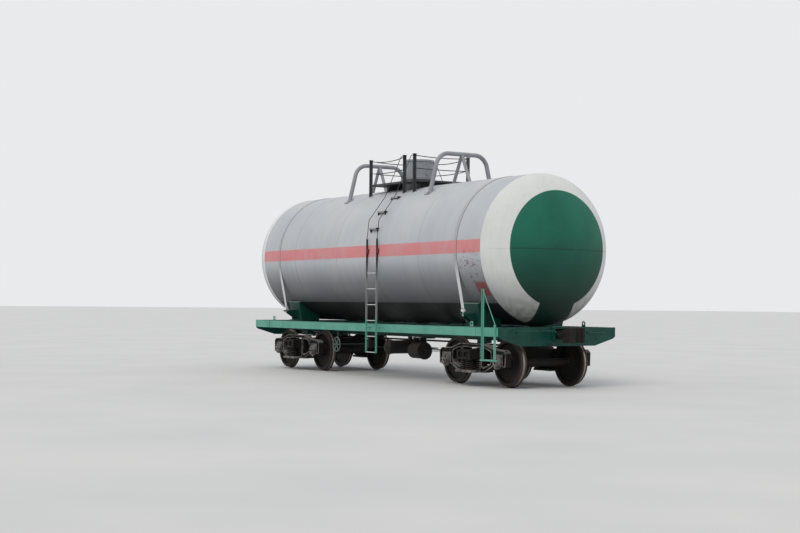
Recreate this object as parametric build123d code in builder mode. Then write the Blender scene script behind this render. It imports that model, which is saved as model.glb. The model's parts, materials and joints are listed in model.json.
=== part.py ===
from build123d import *
import os
from math import acos, asin, atan2, cos, degrees, radians, sin, sqrt

# Four-axle railway tank car for liquefied gas, on two cast three-piece bogies.
# X runs along the car, Y across it and Z up. The origin is on the floor under the middle
# of the car, at the level of the wheel flange tips. All sizes are in millimetres.
# The car is the same after half a turn about Z, so most pieces come as an a end (+X)
# and a b end (-X).

# Wheels and axles
tread_d = 957
flange_h = 28
tread_y = 790
rim_in_y = 720
rim_w = 130
rim_th = 72
hub_r = 133
hub_in_y = 702
hub_len = 188
disc_th = 26
seat_r = 97
axle_r = 82.5
journal_r = 65
journal_y = 1018
journal_len = 180
bearing_gap = 0.3
seat_gap = 0.3
wheel_base = 1850
bogie_x = 3900

# Bogie castings
frame_h_top = 850
seat_top = 310
seat_th = 50
frame_th = 140
rim = 22
recess = 45
frame_half = 1195
window_half = 300
column_w = 72
jaw_half = 140
jaw_top = 627
jaw_foot = 402
chord_h = 78
box_r = 125
cover_r = 104
nest_y = 280
spring_r = 100
spring_top = 528
wedge_h = 150
pocket_w = 170
pocket_h = 110
pocket_d = 35
spring_pitch_y = 175
bolster_w = 470
bolster_top = 772
bowl_level = 806
bowl_rim = 22
pivot_r = 151
pivot_gap = 2
king_r = 27
bearer_y = 762
bearer_gap = 8
shoe_gap = 8
shoe_th = 50

# Underframe
frame_over = 1500
sill_top = 1207
sill_h = 185
sill_y = 1490
sill_flange = 70
sill_t = 8
doubler_len = 770
doubler_t = 6
spine_h = 310
spine_y = 175
spine_t = 12
spine_flange = 110
end_t = 10
end_drop = 375
end_flange = 110
bolster_len = 420
bolster_t = 12
member_w = 60
member_t = 8

# Tank
tank_r = 1564
tank_gap = 29
barrel_over = 960
head_depth = 756

# Cradle of the tank, with heights above the frame
saddle_dx = 25
saddle_len = 550
saddle_in_y = 560
saddle_out_y = 1050
saddle_top_y = 1150
saddle_h = 483
saddle_t = 14
liner_t = 20
bracket_t = 20
strap_dx = 60
strap_w = 100
strap_t = 8
anchor_in = 219
anchor_h = 263
block_rise = 60
bolt_r = 16
foot_len = 620

# Roof, with heights above the crown of the tank. Its middle is a little off the middle of
# the car, towards the a end
roof_x = 110
deck_rise = 78
deck_t = 30
deck_half = 985
deck_y = 700
deck_edge = 45
bearer_x = 700
bearer_w = 60
bearer_half = 430
post_w = 60
post_t = 6
post_h = 610
post_cap = 90
rail_r = 10
gate_x = 538
sag = 60
hood_r = 340
hood_rise = 668
hood_base_rise = 230
hood_t = 6
hood_base_t = 12
hood_flange_w = 22
hood_flange_h = 40
hood_rib_r = 8
hood_ribs = 36
hinge_out = 50
hinge_down = 20
hinge_r = 22
hinge_pin_r = 9
arc_x = 1785
arc_r = 50
arc_foot_y = 855
arc_shoulder_y = 620
arc_bend = 330
arc_rise = 693
arc_pad = 180
arc_pad_t = 14
brace_r = 38
brace_spread = 345

# Ladders and steps
ladder_dx = 560
ladder_w = 435
ladder_gap = 24
ladder_low = 551
ladder_over = 310
rod_gap = 145
rod_angles = (25.5, 49)
rod_bends = (80, 150, 30)
rod_lean = 62
rung_pitch = 355
rung_count = 6
stile_w = 45
stile_t = 10
rung_r = 10
rod_r = 8
ladder_foot_w = 50
ladder_foot_h = 40
step_angles = (20.3, 36.5, 54.5)
step_dx = 45
step_w = 300
step_d = 75
step_t = 8
step_lip = 35
step_fall = 4
corner_in = 85
corner_w = 420
corner_low = 530
corner_high = 1970

# Couplers
coupler_reach = 610
coupler_z = 1060
shank_w = 130
shank_h = 175
shank_in = 420
head_h = 300
head_len = 330
claw_y = 215
claw_len = 75
tooth_y = 185
tooth_len = 45
throat_d = 75
throat_y = 95
cast_edge = 8

# Brake gear
drum_x = 150
drum_y = -330
drum_z = 660
drum_r = 155
drum_half = 500
cylinder_x = 950
cylinder_y = -480
cylinder_z = 600
cylinder_r = 178
cylinder_len = 440
valve_y = 500
tie_y = 330
pull_stop = 460
pipe_z = 807
pipe_r = 21
nozzle_r = 17
handwheel_x = -1140
handwheel_y = 1455
handwheel_z = 690
handwheel_r = 165
bracket_y = 1420
case_face = 620
case_w = 170
case_d = 140
case_h = 190
shaft_r = 14

# Tow lugs
lug_dx = 520
lug_y = 1450
lug_t = 14
lug_h = 113
lug_hole_r = 28

# Heights above the rail become heights above the flange tips
rail_z = flange_h
rim_out_y = rim_in_y + rim_w
tread_r = tread_d / 2
axle_z = rail_z + tread_r
top_z = rail_z + sill_top
low_z = top_z - sill_h
spine_z = top_z - spine_h
axis_z = top_z + tank_gap + tank_r
crown_z = axis_z + tank_r
deck_low = crown_z + deck_rise
deck_top = deck_low + deck_t
post_top = deck_low + post_h
bowl_z = rail_z + bowl_level
coupler_axis = rail_z + coupler_z

# Places that follow from the sizes above
frame_half_len = bogie_x + frame_over
barrel_half = bogie_x + barrel_over
pull_face = frame_half_len + coupler_reach
web_in = sill_y - sill_t
saddle_x = bogie_x + saddle_dx
strap_x = bogie_x + strap_dx
lug_x = bogie_x + lug_dx
anchor_y = tank_r - anchor_in
anchor_z = top_z + anchor_h
saddle_top = top_z + saddle_h
ladder_y = max(tank_r, sill_y + stile_w) + ladder_gap
corner_x_out = frame_half_len - corner_in
corner_x_in = corner_x_out - corner_w

ends = (("a", 0), ("b", 180))
bogies = (("a", bogie_x), ("b", -bogie_x))

os.makedirs("parts", exist_ok=True)

# Centre sill: two Z sections welded along their top flanges, open below
with BuildPart() as centre_sill:
    with BuildSketch(Plane.YZ.offset(-frame_half_len + end_t)):
        with Locations((0, top_z - spine_t / 2)):
            Rectangle(2 * spine_y, spine_t)
        for side in (-1, 1):
            with Locations((side * (spine_y - spine_t / 2), top_z - spine_h / 2)):
                Rectangle(spine_t, spine_h)
            with Locations((side * (spine_y + spine_flange / 2), spine_z + spine_t / 2)):
                Rectangle(spine_flange, spine_t)
    extrude(amount=2 * (frame_half_len - end_t))
centre_sill.part.label = "centre_sill"
export_step(centre_sill.part, "parts/centre_sill.step")

# Side sills: rolled channels with the web outwards, and a doubler plate on each end
for name, side in (("side_sill_left", 1), ("side_sill_right", -1)):
    with BuildPart() as side_sill:
        with BuildSketch(Plane.YZ.offset(-frame_half_len + end_t)):
            with Locations((side * (sill_y - sill_t / 2), top_z - sill_h / 2)):
                Rectangle(sill_t, sill_h)
            for z in (top_z - sill_t / 2, low_z + sill_t / 2):
                with Locations((side * (sill_y - sill_flange / 2), z)):
                    Rectangle(sill_flange, sill_t)
        extrude(amount=2 * (frame_half_len - end_t))
        for end in (-1, 1):
            x = end * (frame_half_len - end_t - doubler_len / 2)
            with Locations((x, side * (sill_y + doubler_t / 2), top_z - sill_h / 2)):
                Box(doubler_len, doubler_t, sill_h)
    side_sill.part.label = name
    export_step(side_sill.part, f"parts/{name}.step")

# End sill: pressed plate, deep between the wheels and shallow at its ends, with its
# stiffening flanges and the striker casting that the coupler shank passes through
striker_w = 330
striker_h = 300
striker_d = 60
mouth_w = 230
mouth_top = coupler_axis + shank_h / 2 + 35
mouth_low = coupler_axis - shank_h / 2 - bearing_gap
end_low = top_z - end_drop
with BuildPart() as end_sill:
    with BuildSketch(Plane.YZ.offset(frame_half_len - end_t)):
        with BuildLine():
            outline = [(-sill_y, low_z), (-1440, end_low + 145), (-1100, end_low + 45), (-950, end_low)]
            mirrored = [(-y, z) for y, z in reversed(outline)]
            Polyline(*outline, *mirrored, (sill_y, top_z), (-sill_y, top_z), close=True)
        make_face()
    extrude(amount=end_t)
    flange_len = sill_y - sill_flange - spine_y - spine_flange
    for side in (-1, 1):
        y = side * (spine_y + spine_flange + flange_len / 2)
        with Locations((frame_half_len - end_t - end_flange / 2, y, top_z - end_t / 2)):
            Box(end_flange, flange_len, end_t)
        y = side * (spine_y + spine_flange + 320)
        with Locations((frame_half_len - end_t - end_flange / 4, y, end_low + end_t / 2)):
            Box(end_flange / 2, 640, end_t)
    with BuildSketch(Plane.YZ.offset(frame_half_len)):
        with Locations((0, (mouth_top + mouth_low) / 2)):
            RectangleRounded(striker_w, striker_h, 40)
    extrude(amount=striker_d, taper=8)
    with BuildSketch(Plane.YZ.offset(frame_half_len - end_t)):
        with Locations((0, (mouth_top + mouth_low) / 2)):
            Rectangle(mouth_w, mouth_top - mouth_low)
    extrude(amount=end_t + striker_d, mode=Mode.SUBTRACT)
for end, turn in ends:
    with BuildPart() as placed_end_sill:
        add(end_sill.part, rotation=(0, 0, turn))
    placed_end_sill.part.label = f"end_sill_{end}"
    export_step(placed_end_sill.part, f"parts/end_sill_{end}.step")

# Body bolster: box beams from the centre sill to the side sills over each bogie, with the
# pivot casting, its king pin and the pads over the side bearings
root_y = spine_y + spine_flange
tip_y = sill_y - sill_flange
pad_low = bowl_z + 48
with BuildPart() as body_bolster:
    for side in (-1, 1):
        with BuildSketch(Plane.YZ.offset(-bolster_len / 2)):
            with BuildLine():
                Polyline(
                    (side * spine_y, spine_z + spine_t),
                    (side * root_y, spine_z + spine_t),
                    (side * tip_y, low_z),
                    (side * tip_y, low_z + sill_t),
                    (side * web_in, low_z + sill_t),
                    (side * web_in, top_z - sill_t),
                    (side * tip_y, top_z - sill_t),
                    (side * tip_y, top_z),
                    (side * spine_y, top_z),
                    close=True,
                )
            make_face()
        extrude(amount=bolster_len)
        with BuildSketch(Plane.YZ.offset(-bolster_len / 2 + 50)):
            with BuildLine():
                Polyline(
                    (side * spine_y, spine_z + spine_t + bolster_t),
                    (side * root_y, spine_z + spine_t + bolster_t),
                    (side * tip_y, low_z + 2 * bolster_t),
                    (side * tip_y, top_z - bolster_t),
                    (side * spine_y, top_z - bolster_t),
                    close=True,
                )
            make_face()
        extrude(amount=bolster_len - 100, mode=Mode.SUBTRACT)
        with BuildSketch(Plane.XY.offset(pad_low)):
            with Locations((0, side * bearer_y)):
                Rectangle(300, 160)
        extrude(until=Until.NEXT)
    with Locations((0, 0, spine_z - 15)):
        Box(420, 2 * root_y, 30)
    with BuildSketch(Plane.XY.offset(bowl_z + bearing_gap)):
        Circle(pivot_r)
    extrude(amount=spine_z - bowl_z - bearing_gap)
    with BuildSketch(Plane.XY.offset(bowl_z - 110)):
        Circle(king_r)
    extrude(amount=120)
for end, x in bogies:
    with BuildPart() as placed_body_bolster:
        with Locations((x, 0, 0)):
            add(body_bolster.part)
    placed_body_bolster.part.label = f"body_bolster_{end}"
    export_step(placed_body_bolster.part, f"parts/body_bolster_{end}.step")

# Cross members: channels between the centre sill and the side sills
member_x = (-2250, -750, 750, 2250)
member_h = sill_h - 2 * sill_t
with BuildPart() as cross_members:
    for x in member_x:
        for side in (-1, 1):
            length = web_in - spine_y
            centre = (x, side * (spine_y + length / 2), top_z - sill_h / 2)
            with Locations(centre):
                Box(member_w, length, member_h)
            with Locations((x + member_t, centre[1], centre[2])):
                Box(member_w, length, member_h - 2 * member_t, mode=Mode.SUBTRACT)
cross_members.part.label = "cross_members"
export_step(cross_members.part, "parts/cross_members.step")

# Tank: a rolled barrel and two pressed elliptical heads
with BuildPart() as tank_barrel:
    with BuildSketch(Plane.YZ.offset(-barrel_half)):
        with Locations((0, axis_z)):
            Circle(tank_r)
    extrude(amount=2 * barrel_half)
tank_barrel.part.label = "tank_barrel"
export_step(tank_barrel.part, "parts/tank_barrel.step")

with BuildPart() as tank_head:
    with BuildSketch(Plane.XZ):
        with BuildLine():
            EllipticalCenterArc((barrel_half, axis_z), head_depth, tank_r, start_angle=0, arc_size=90)
            Polyline(
                (barrel_half, axis_z + tank_r),
                (barrel_half, axis_z),
                (barrel_half + head_depth, axis_z),
            )
        make_face()
    revolve(axis=Axis((0, 0, axis_z), (1, 0, 0)))
for end, turn in ends:
    with BuildPart() as placed_tank_head:
        add(tank_head.part, rotation=(0, 0, turn))
    placed_tank_head.part.label = f"tank_head_{end}"
    export_step(placed_tank_head.part, f"parts/tank_head_{end}.step")

# Middle foot: the bolted casting that holds the tank against endways shocks
with BuildPart() as tank_foot:
    with Locations((0, 0, top_z + 10)):
        Box(foot_len, 2 * spine_y, 20)
    for y in (-120, 120):
        with Locations((0, y, top_z + 75)):
            Box(foot_len - 60, 24, 150)
    for x in (-220, 0, 220):
        with Locations((x, 0, top_z + 75)):
            Box(24, 2 * spine_y - 40, 150)
    with BuildSketch(Plane.YZ.offset(-foot_len)):
        with Locations((0, axis_z)):
            Circle(tank_r)
    extrude(amount=2 * foot_len, mode=Mode.SUBTRACT)
tank_foot.part.label = "tank_foot"
export_step(tank_foot.part, "parts/tank_foot.step")

# Saddles: welded cradles on the body bolsters, with a liner under the barrel and a bracket
# on each side for the strap
liner_r = tank_r + liner_t
with BuildPart() as saddle:
    for side in (-1, 1):
        with BuildSketch(Plane.YZ.offset(-saddle_len / 2)):
            with BuildLine():
                Polyline(
                    (side * saddle_in_y, top_z),
                    (side * saddle_out_y, top_z),
                    (side * saddle_top_y, saddle_top),
                    (side * saddle_in_y, saddle_top),
                    close=True,
                )
            make_face()
            with Locations((0, axis_z)):
                Circle(tank_r, mode=Mode.SUBTRACT)
        extrude(amount=saddle_len)
        with BuildSketch(Plane.YZ.offset(-saddle_len / 2 + saddle_t)):
            with BuildLine():
                Polyline(
                    (side * saddle_in_y, top_z + saddle_t),
                    (side * (saddle_out_y - saddle_t), top_z + saddle_t),
                    (side * (saddle_top_y - saddle_t), saddle_top - saddle_t),
                    (side * saddle_in_y, saddle_top - saddle_t),
                    close=True,
                )
            make_face()
            with Locations((0, axis_z)):
                Circle(liner_r, mode=Mode.SUBTRACT)
        extrude(amount=saddle_len - 2 * saddle_t, mode=Mode.SUBTRACT)
        bracket_in = saddle_out_y + 40
        bracket_len = anchor_y + 45 - bracket_in
        strap_at = strap_dx - saddle_dx
        with Locations((strap_at, side * (bracket_in + bracket_len / 2), anchor_z - bracket_t / 2)):
            Box(strap_w + 60, bracket_len, bracket_t)
        with Locations((strap_at, side * anchor_y, anchor_z - bracket_t / 2)):
            Cylinder(bolt_r + 1, bracket_t, mode=Mode.SUBTRACT)
        for dx in (-strap_w / 2 - 20, strap_w / 2 + 20):
            with BuildSketch(Plane.YZ.offset(strap_at + dx - 6)):
                with BuildLine():
                    Polyline(
                        (side * bracket_in, anchor_z - bracket_t),
                        (side * (anchor_y + 45), anchor_z - bracket_t),
                        (side * (saddle_out_y + 5), anchor_z - 230),
                        close=True,
                    )
                make_face()
            extrude(amount=12)
for end, x in (("a", saddle_x), ("b", -saddle_x)):
    with BuildPart() as placed_saddle:
        with Locations((x, 0, 0)):
            add(saddle.part, rotation=(0, 0, 0 if x > 0 else 180))
    placed_saddle.part.label = f"saddle_{end}"
    export_step(placed_saddle.part, f"parts/saddle_{end}.step")

# Straps: a steel band over the barrel at each saddle, straight where it leaves the barrel,
# and drawn down on each side by a bolt through the saddle bracket
drop = axis_z - anchor_z - block_rise
reach = sqrt(anchor_y**2 + drop**2)
for end, x in (("a", strap_x), ("b", -strap_x)):
    with BuildPart() as strap:
        with BuildSketch(Plane.YZ.offset(x - strap_w / 2)):
            for radius, mode in ((tank_r + strap_t, Mode.ADD), (tank_r, Mode.SUBTRACT)):
                leave = -atan2(drop, anchor_y) + acos(radius / reach)
                low = (anchor_y, axis_z - drop)
                tangent = (radius * cos(leave), axis_z + radius * sin(leave))
                with BuildLine():
                    Polyline(
                        (-low[0], low[1]),
                        (-tangent[0], tangent[1]),
                    )
                    ThreePointArc(
                        (-tangent[0], tangent[1]),
                        (0, axis_z + radius),
                        tangent,
                    )
                    Polyline(tangent, low)
                    Line(low, (-low[0], low[1]))
                make_face(mode=mode)
        extrude(amount=strap_w)
        for side in (-1, 1):
            with Locations((x, side * anchor_y, anchor_z + block_rise)):
                Box(strap_w, 44, 50)
            with Locations((x, side * anchor_y, anchor_z)):
                Cylinder(bolt_r, 2 * block_rise)
            with BuildSketch(Plane.XY.offset(anchor_z - bracket_t)):
                with Locations((x, side * anchor_y)):
                    RegularPolygon(bolt_r + 10, 6)
            extrude(amount=-24)
    strap.part.label = f"strap_{end}"
    export_step(strap.part, f"parts/strap_{end}.step")

# Bogie side frame: a cast truss with a window for the bolster and its springs, two open
# rounded triangles, a jaw over each axle box, and on both faces a web sunk inside a rim
half_base = wheel_base / 2
frame_top_z = rail_z + frame_h_top
seat_top_z = rail_z + seat_top
seat_low_z = seat_top_z - seat_th
jaw_z = rail_z + jaw_top
jaw_low = rail_z + jaw_foot
with BuildPart() as side_frame:
    with BuildSketch(Plane.XZ.offset(-frame_th / 2)) as side_outline:
        with BuildLine():
            right = [
                (430, frame_top_z),
                (740, frame_top_z - 90),
                (1120, frame_top_z - 112),
                (frame_half, frame_top_z - 170),
                (frame_half - 12, jaw_low),
                (half_base + jaw_half, jaw_low),
                (half_base + jaw_half, jaw_z),
                (half_base - jaw_half, jaw_z),
                (half_base - jaw_half, jaw_low + 10),
                (730, jaw_low - 10),
                (440, seat_low_z),
            ]
            right_bends = [160, 120, 60, 40, 12, 12, 0, 0, 12, 40, 90]
            left = [(-x, z) for x, z in reversed(right)]
            bends = right_bends + right_bends[::-1]
            FilletPolyline(*right, *left, radius=bends, close=True)
        make_face()
        with Locations((0, (seat_top_z + frame_top_z - chord_h) / 2)):
            Rectangle(2 * window_half, frame_top_z - chord_h - seat_top_z, mode=Mode.SUBTRACT)
        window_in = window_half + column_w
        for end in (-1, 1):
            with BuildLine():
                corners = [
                    (end * window_in, frame_top_z - chord_h - 12),
                    (end * (window_in + 98), frame_top_z - chord_h - 12),
                    (end * 680, frame_top_z - 2 * chord_h),
                    (end * 700, jaw_low + 110),
                    (end * 655, jaw_low + 40),
                    (end * 440, seat_top_z + 60),
                    (end * window_in, seat_top_z + 60),
                ]
                FilletPolyline(*corners, radius=[30, 60, 45, 45, 45, 60, 30], close=True)
            make_face(mode=Mode.SUBTRACT)
    extrude(amount=frame_th)
    for offset_y, depth in ((-frame_th / 2, recess), (frame_th / 2, -recess)):
        with BuildSketch(Plane.XZ.offset(offset_y)):
            add(side_outline.sketch.face())
            offset(amount=-rim, kind=Kind.INTERSECTION, mode=Mode.REPLACE)
        extrude(amount=depth, mode=Mode.SUBTRACT)
    seat_len = nest_y - frame_th / 2
    for y in (-(frame_th + seat_len) / 2, (frame_th + seat_len) / 2):
        with Locations((0, y, seat_top_z - seat_th / 2)):
            Box(2 * window_half - 20, seat_len, seat_th)

# Axle box: a cylinder round the journal with a front cover and a saddle under the jaw
journal_end = journal_y + journal_len / 2
box_in_y = journal_y - journal_len / 2 + 5
with BuildPart() as axle_box:
    with BuildSketch(Plane.XY):
        with BuildLine():
            Polyline(
                (journal_r + bearing_gap, box_in_y),
                (box_r, box_in_y),
                (box_r, journal_end + 25),
                (cover_r, journal_end + 32),
                (cover_r, journal_end + 45),
                (0, journal_end + 45),
                (0, journal_end + 6),
                (journal_r + bearing_gap, journal_end + 6),
                close=True,
            )
        make_face()
    revolve(axis=Axis.Y)
    with Locations((0, journal_y, (jaw_z - axle_z + 60) / 2)):
        Box(250, frame_th, jaw_z - axle_z - 60)
    with BuildSketch(Plane.XZ.offset(-journal_y - frame_th / 2)):
        Circle(box_r - 2)
    extrude(amount=frame_th, mode=Mode.SUBTRACT)
    with BuildSketch(Plane.XY):
        with BuildLine():
            Polyline(
                (journal_r + bearing_gap, box_in_y),
                (box_r, box_in_y),
                (box_r, journal_end + 20),
                (journal_r + bearing_gap, journal_end + 20),
                close=True,
            )
        make_face()
    revolve(axis=Axis.Y)

# Springs: seven nests under each end of the bolster, each a round column of coils
nest = [(-100, -spring_pitch_y), (100, -spring_pitch_y), (-200, 0), (0, 0), (200, 0)]
nest += [(-100, spring_pitch_y), (100, spring_pitch_y)]
spring_top_z = rail_z + spring_top
with BuildPart() as springs:
    for side in (-1, 1):
        for x, y in nest:
            with BuildSketch(Plane.XY.offset(seat_top_z)):
                with Locations((x, side * journal_y + y)):
                    Circle(spring_r - 4)
            extrude(amount=spring_top_z - seat_top_z)

# Bogie bolster: a box casting that is deep in the middle, with the pivot bowl, the side
# bearings, cored pockets in its ends and the wedges that rub on the side frames
bolster_top_z = rail_z + bolster_top
bolster_half = journal_y + nest_y
belly_drop = 90
with BuildPart() as bogie_bolster:
    with BuildSketch(Plane.YZ.offset(-bolster_w / 2)):
        with BuildLine():
            Polyline(
                (-bolster_half, spring_top_z),
                (-740, spring_top_z),
                (-520, spring_top_z - belly_drop),
                (520, spring_top_z - belly_drop),
                (740, spring_top_z),
                (bolster_half, spring_top_z),
                (bolster_half, frame_top_z - 130),
                (860, frame_top_z - 110),
                (640, bolster_top_z),
                (-640, bolster_top_z),
                (-860, frame_top_z - 110),
                (-bolster_half, frame_top_z - 130),
                close=True,
            )
        make_face()
    extrude(amount=bolster_w)
    with BuildSketch(Plane.XY.offset(bolster_top_z)):
        Circle(pivot_r + pivot_gap + 38)
    extrude(amount=bowl_z + bowl_rim - bolster_top_z)
    with BuildSketch(Plane.XY.offset(bowl_z)):
        Circle(pivot_r + pivot_gap)
    extrude(amount=bowl_rim, mode=Mode.SUBTRACT)
    with BuildSketch(Plane.XY.offset(spring_top_z - belly_drop)):
        Circle(king_r + pivot_gap)
    extrude(amount=bowl_z - spring_top_z + belly_drop, mode=Mode.SUBTRACT)
    for side in (-1, 1):
        with BuildSketch(Plane.XY.offset(bolster_top_z - 30)):
            with Locations((0, side * bearer_y)):
                Rectangle(220, 120)
        extrude(amount=pad_low - bearer_gap - bolster_top_z + 30)
        with BuildSketch(Plane.XZ.offset(-side * bolster_half)):
            with Locations((0, (spring_top_z + frame_top_z - 130) / 2)):
                with GridLocations(pocket_w + 40, 0, 2, 1):
                    RectangleRounded(pocket_w, pocket_h, 25)
        extrude(amount=side * pocket_d, mode=Mode.SUBTRACT)
        for end in (-1, 1):
            wedge_in = end * (bolster_w / 2)
            wedge_out = end * (window_half - bearing_gap)
            with BuildSketch(Plane.XZ.offset(-side * journal_y - frame_th / 2 + 8)):
                with BuildLine():
                    Polyline(
                        (wedge_in, spring_top_z),
                        (wedge_out, spring_top_z),
                        (wedge_out, spring_top_z + wedge_h),
                        (wedge_out - end * 30, spring_top_z + wedge_h),
                        (wedge_in, spring_top_z + wedge_h / 3),
                        close=True,
                    )
                make_face()
            extrude(amount=frame_th - 16)

# Brake beams: a cross bar with a truss rod and a block in front of each wheel tread
shoe_in = tread_r + shoe_gap
with BuildPart() as brake_beams:
    for end in (-1, 1):
        beam_x = end * (half_base - shoe_in - shoe_th - 45)
        with Locations((beam_x, 0, axle_z - 40)):
            Box(50, 2 * tread_y + 60, 90)
        for side in (-1, 1):
            with BuildSketch(Plane.XZ.offset(-side * tread_y - 40)):
                with Locations((end * half_base, axle_z)):
                    Circle(shoe_in + shoe_th)
                    Circle(shoe_in, mode=Mode.SUBTRACT)
                with Locations((beam_x + end * 10, axle_z - 20)):
                    Rectangle(130, 300, mode=Mode.INTERSECT)
            extrude(amount=80)
            with Locations((beam_x + end * 15, side * tread_y, axle_z - 30)):
                Box(60, 70, 60)
            link_x = end * (window_half + 36)
            link_y = side * (rim_out_y + 35)
            with Locations((link_x, link_y, (axle_z - 40 + frame_top_z - 120) / 2)):
                Box(50, 16, frame_top_z - 80 - axle_z)
            pin_len = journal_y - frame_th / 2 - rim_out_y - 10
            with BuildSketch(Plane.XZ.offset(-side * (rim_out_y + 10))):
                with Locations((link_x, frame_top_z - 120)):
                    Circle(14)
            extrude(amount=-side * pin_len)
            with BuildSketch(Plane.XZ.offset(-side * tread_y)):
                with Locations((link_x, axle_z - 40)):
                    Circle(14)
            extrude(amount=-side * (rim_out_y + 43 - tread_y))

for end, x in bogies:
    with BuildPart() as placed_side_frames:
        with Locations((x, -journal_y, 0), (x, journal_y, 0)):
            add(side_frame.part)
    placed_side_frames.part.label = f"side_frames_{end}"
    export_step(placed_side_frames.part, f"parts/side_frames_{end}.step")

    with BuildPart() as placed_boxes:
        for dx in (-half_base, half_base):
            with Locations((x + dx, 0, axle_z)):
                add(axle_box.part)
                add(axle_box.part, rotation=(0, 0, 180))
    placed_boxes.part.label = f"axle_boxes_{end}"
    export_step(placed_boxes.part, f"parts/axle_boxes_{end}.step")

    with BuildPart() as placed_springs:
        with Locations((x, 0, 0)):
            add(springs.part)
    placed_springs.part.label = f"springs_{end}"
    export_step(placed_springs.part, f"parts/springs_{end}.step")

    with BuildPart() as placed_bogie_bolster:
        with Locations((x, 0, 0)):
            add(bogie_bolster.part)
    placed_bogie_bolster.part.label = f"bogie_bolster_{end}"
    export_step(placed_bogie_bolster.part, f"parts/bogie_bolster_{end}.step")

    with BuildPart() as placed_beams:
        with Locations((x, 0, 0)):
            add(brake_beams.part)
    placed_beams.part.label = f"brake_beams_{end}"
    export_step(placed_beams.part, f"parts/brake_beams_{end}.step")

# Wheelset: a solid axle with its journals, and two rolled wheels pressed on it
with BuildPart() as axle:
    with BuildSketch(Plane.XY):
        with BuildLine():
            half = [
                (axle_r, hub_in_y - 40),
                (seat_r, hub_in_y - 20),
                (seat_r, hub_in_y + hub_len + 6),
                (axle_r, hub_in_y + hub_len + 12),
                (axle_r, journal_y - journal_len / 2 - 12),
                (journal_r, journal_y - journal_len / 2),
                (journal_r, journal_end - 4),
                (journal_r - 6, journal_end),
            ]
            other = [(r, -y) for r, y in reversed(half)]
            Polyline(*other, *half, (0, journal_end), (0, -journal_end), close=True)
        make_face()
    revolve(axis=Axis.Y)

rim_r = tread_r - rim_th
disc_in_y = rim_in_y + 32
disc_out_y = disc_in_y + 16
with BuildPart() as wheel:
    with BuildSketch(Plane.XY):
        with BuildLine():
            FilletPolyline(
                (seat_r, hub_in_y),
                (hub_r, hub_in_y),
                (hub_r + 6, disc_in_y),
                (rim_r - 14, disc_out_y),
                (rim_r, rim_in_y),
                (tread_r + 10, rim_in_y),
                (tread_r + flange_h, rim_in_y + 12),
                (tread_r + flange_h, rim_in_y + 18),
                (tread_r + 8, rim_in_y + 34),
                (tread_r, tread_y - 22),
                (tread_r - 2.5, rim_out_y - 8),
                (tread_r - 9, rim_out_y),
                (rim_r, rim_out_y),
                (rim_r - 14, disc_out_y + disc_th),
                (hub_r + 6, disc_in_y + disc_th),
                (hub_r, hub_in_y + hub_len),
                (seat_r, hub_in_y + hub_len),
                radius=[0, 8, 20, 20, 8, 0, 0, 0, 0, 0, 0, 0, 8, 24, 30, 10, 0],
                close=True,
            )
        make_face()
    revolve(axis=Axis.Y)

for end, x in bogies:
    for number, dx in (("1", half_base), ("2", -half_base)):
        with BuildPart() as placed_axle:
            with Locations((x + dx, 0, axle_z)):
                add(axle.part)
        placed_axle.part.label = f"axle_{end}{number}"
        export_step(placed_axle.part, f"parts/axle_{end}{number}.step")
        with BuildPart() as placed_wheels:
            with Locations((x + dx, 0, axle_z)):
                add(wheel.part)
                add(wheel.part, rotation=(0, 0, 180))
        placed_wheels.part.label = f"wheels_{end}{number}"
        export_step(placed_wheels.part, f"parts/wheels_{end}{number}.step")

# Coupler: a head with a large and a small claw, a lock between them, and a square shank
# that rests on the striker mouth
with BuildPart() as coupler:
    with BuildSketch(Plane((pull_face, 0, coupler_axis - head_h / 2))):
        with BuildLine():
            Polyline(
                (-head_len, -shank_w / 2),
                (-0.76 * head_len, -0.7 * claw_y),
                (-0.58 * head_len, -claw_y),
                (0.25 * claw_len, -claw_y),
                (claw_len, -0.74 * claw_y),
                (0.93 * claw_len, -0.49 * claw_y),
                (0.25 * claw_len, -0.35 * claw_y),
                (-0.55 * throat_d, -throat_y),
                (-throat_d, -0.6 * throat_y),
                (-throat_d, 0.2 * throat_y),
                (-0.25 * throat_d, throat_y),
                (0.65 * tooth_len, 0.6 * tooth_y),
                (tooth_len, 0.8 * tooth_y),
                (0.2 * tooth_len, tooth_y),
                (-0.4 * head_len, 0.95 * tooth_y),
                (-0.76 * head_len, 0.7 * tooth_y),
                (-head_len, shank_w / 2),
                close=True,
            )
        make_face()
    extrude(amount=head_h)
    fillet(coupler.edges().filter_by(Axis.Z), radius=cast_edge)
    chamfer(coupler.faces().sort_by(Axis.Z)[-1].edges(), length=0.5 * cast_edge)
    shank_len = coupler_reach - 0.9 * head_len + shank_in
    with Locations((frame_half_len - shank_in + shank_len / 2, 0, coupler_axis)):
        Box(shank_len, shank_w, shank_h)
    with Locations((pull_face - throat_d, -0.3 * throat_y, coupler_axis)):
        Box(throat_d, 0.6 * throat_y, head_h / 2)
for end, turn in ends:
    with BuildPart() as placed_coupler:
        add(coupler.part, rotation=(0, 0, turn))
    placed_coupler.part.label = f"coupler_{end}"
    export_step(placed_coupler.part, f"parts/coupler_{end}.step")

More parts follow.
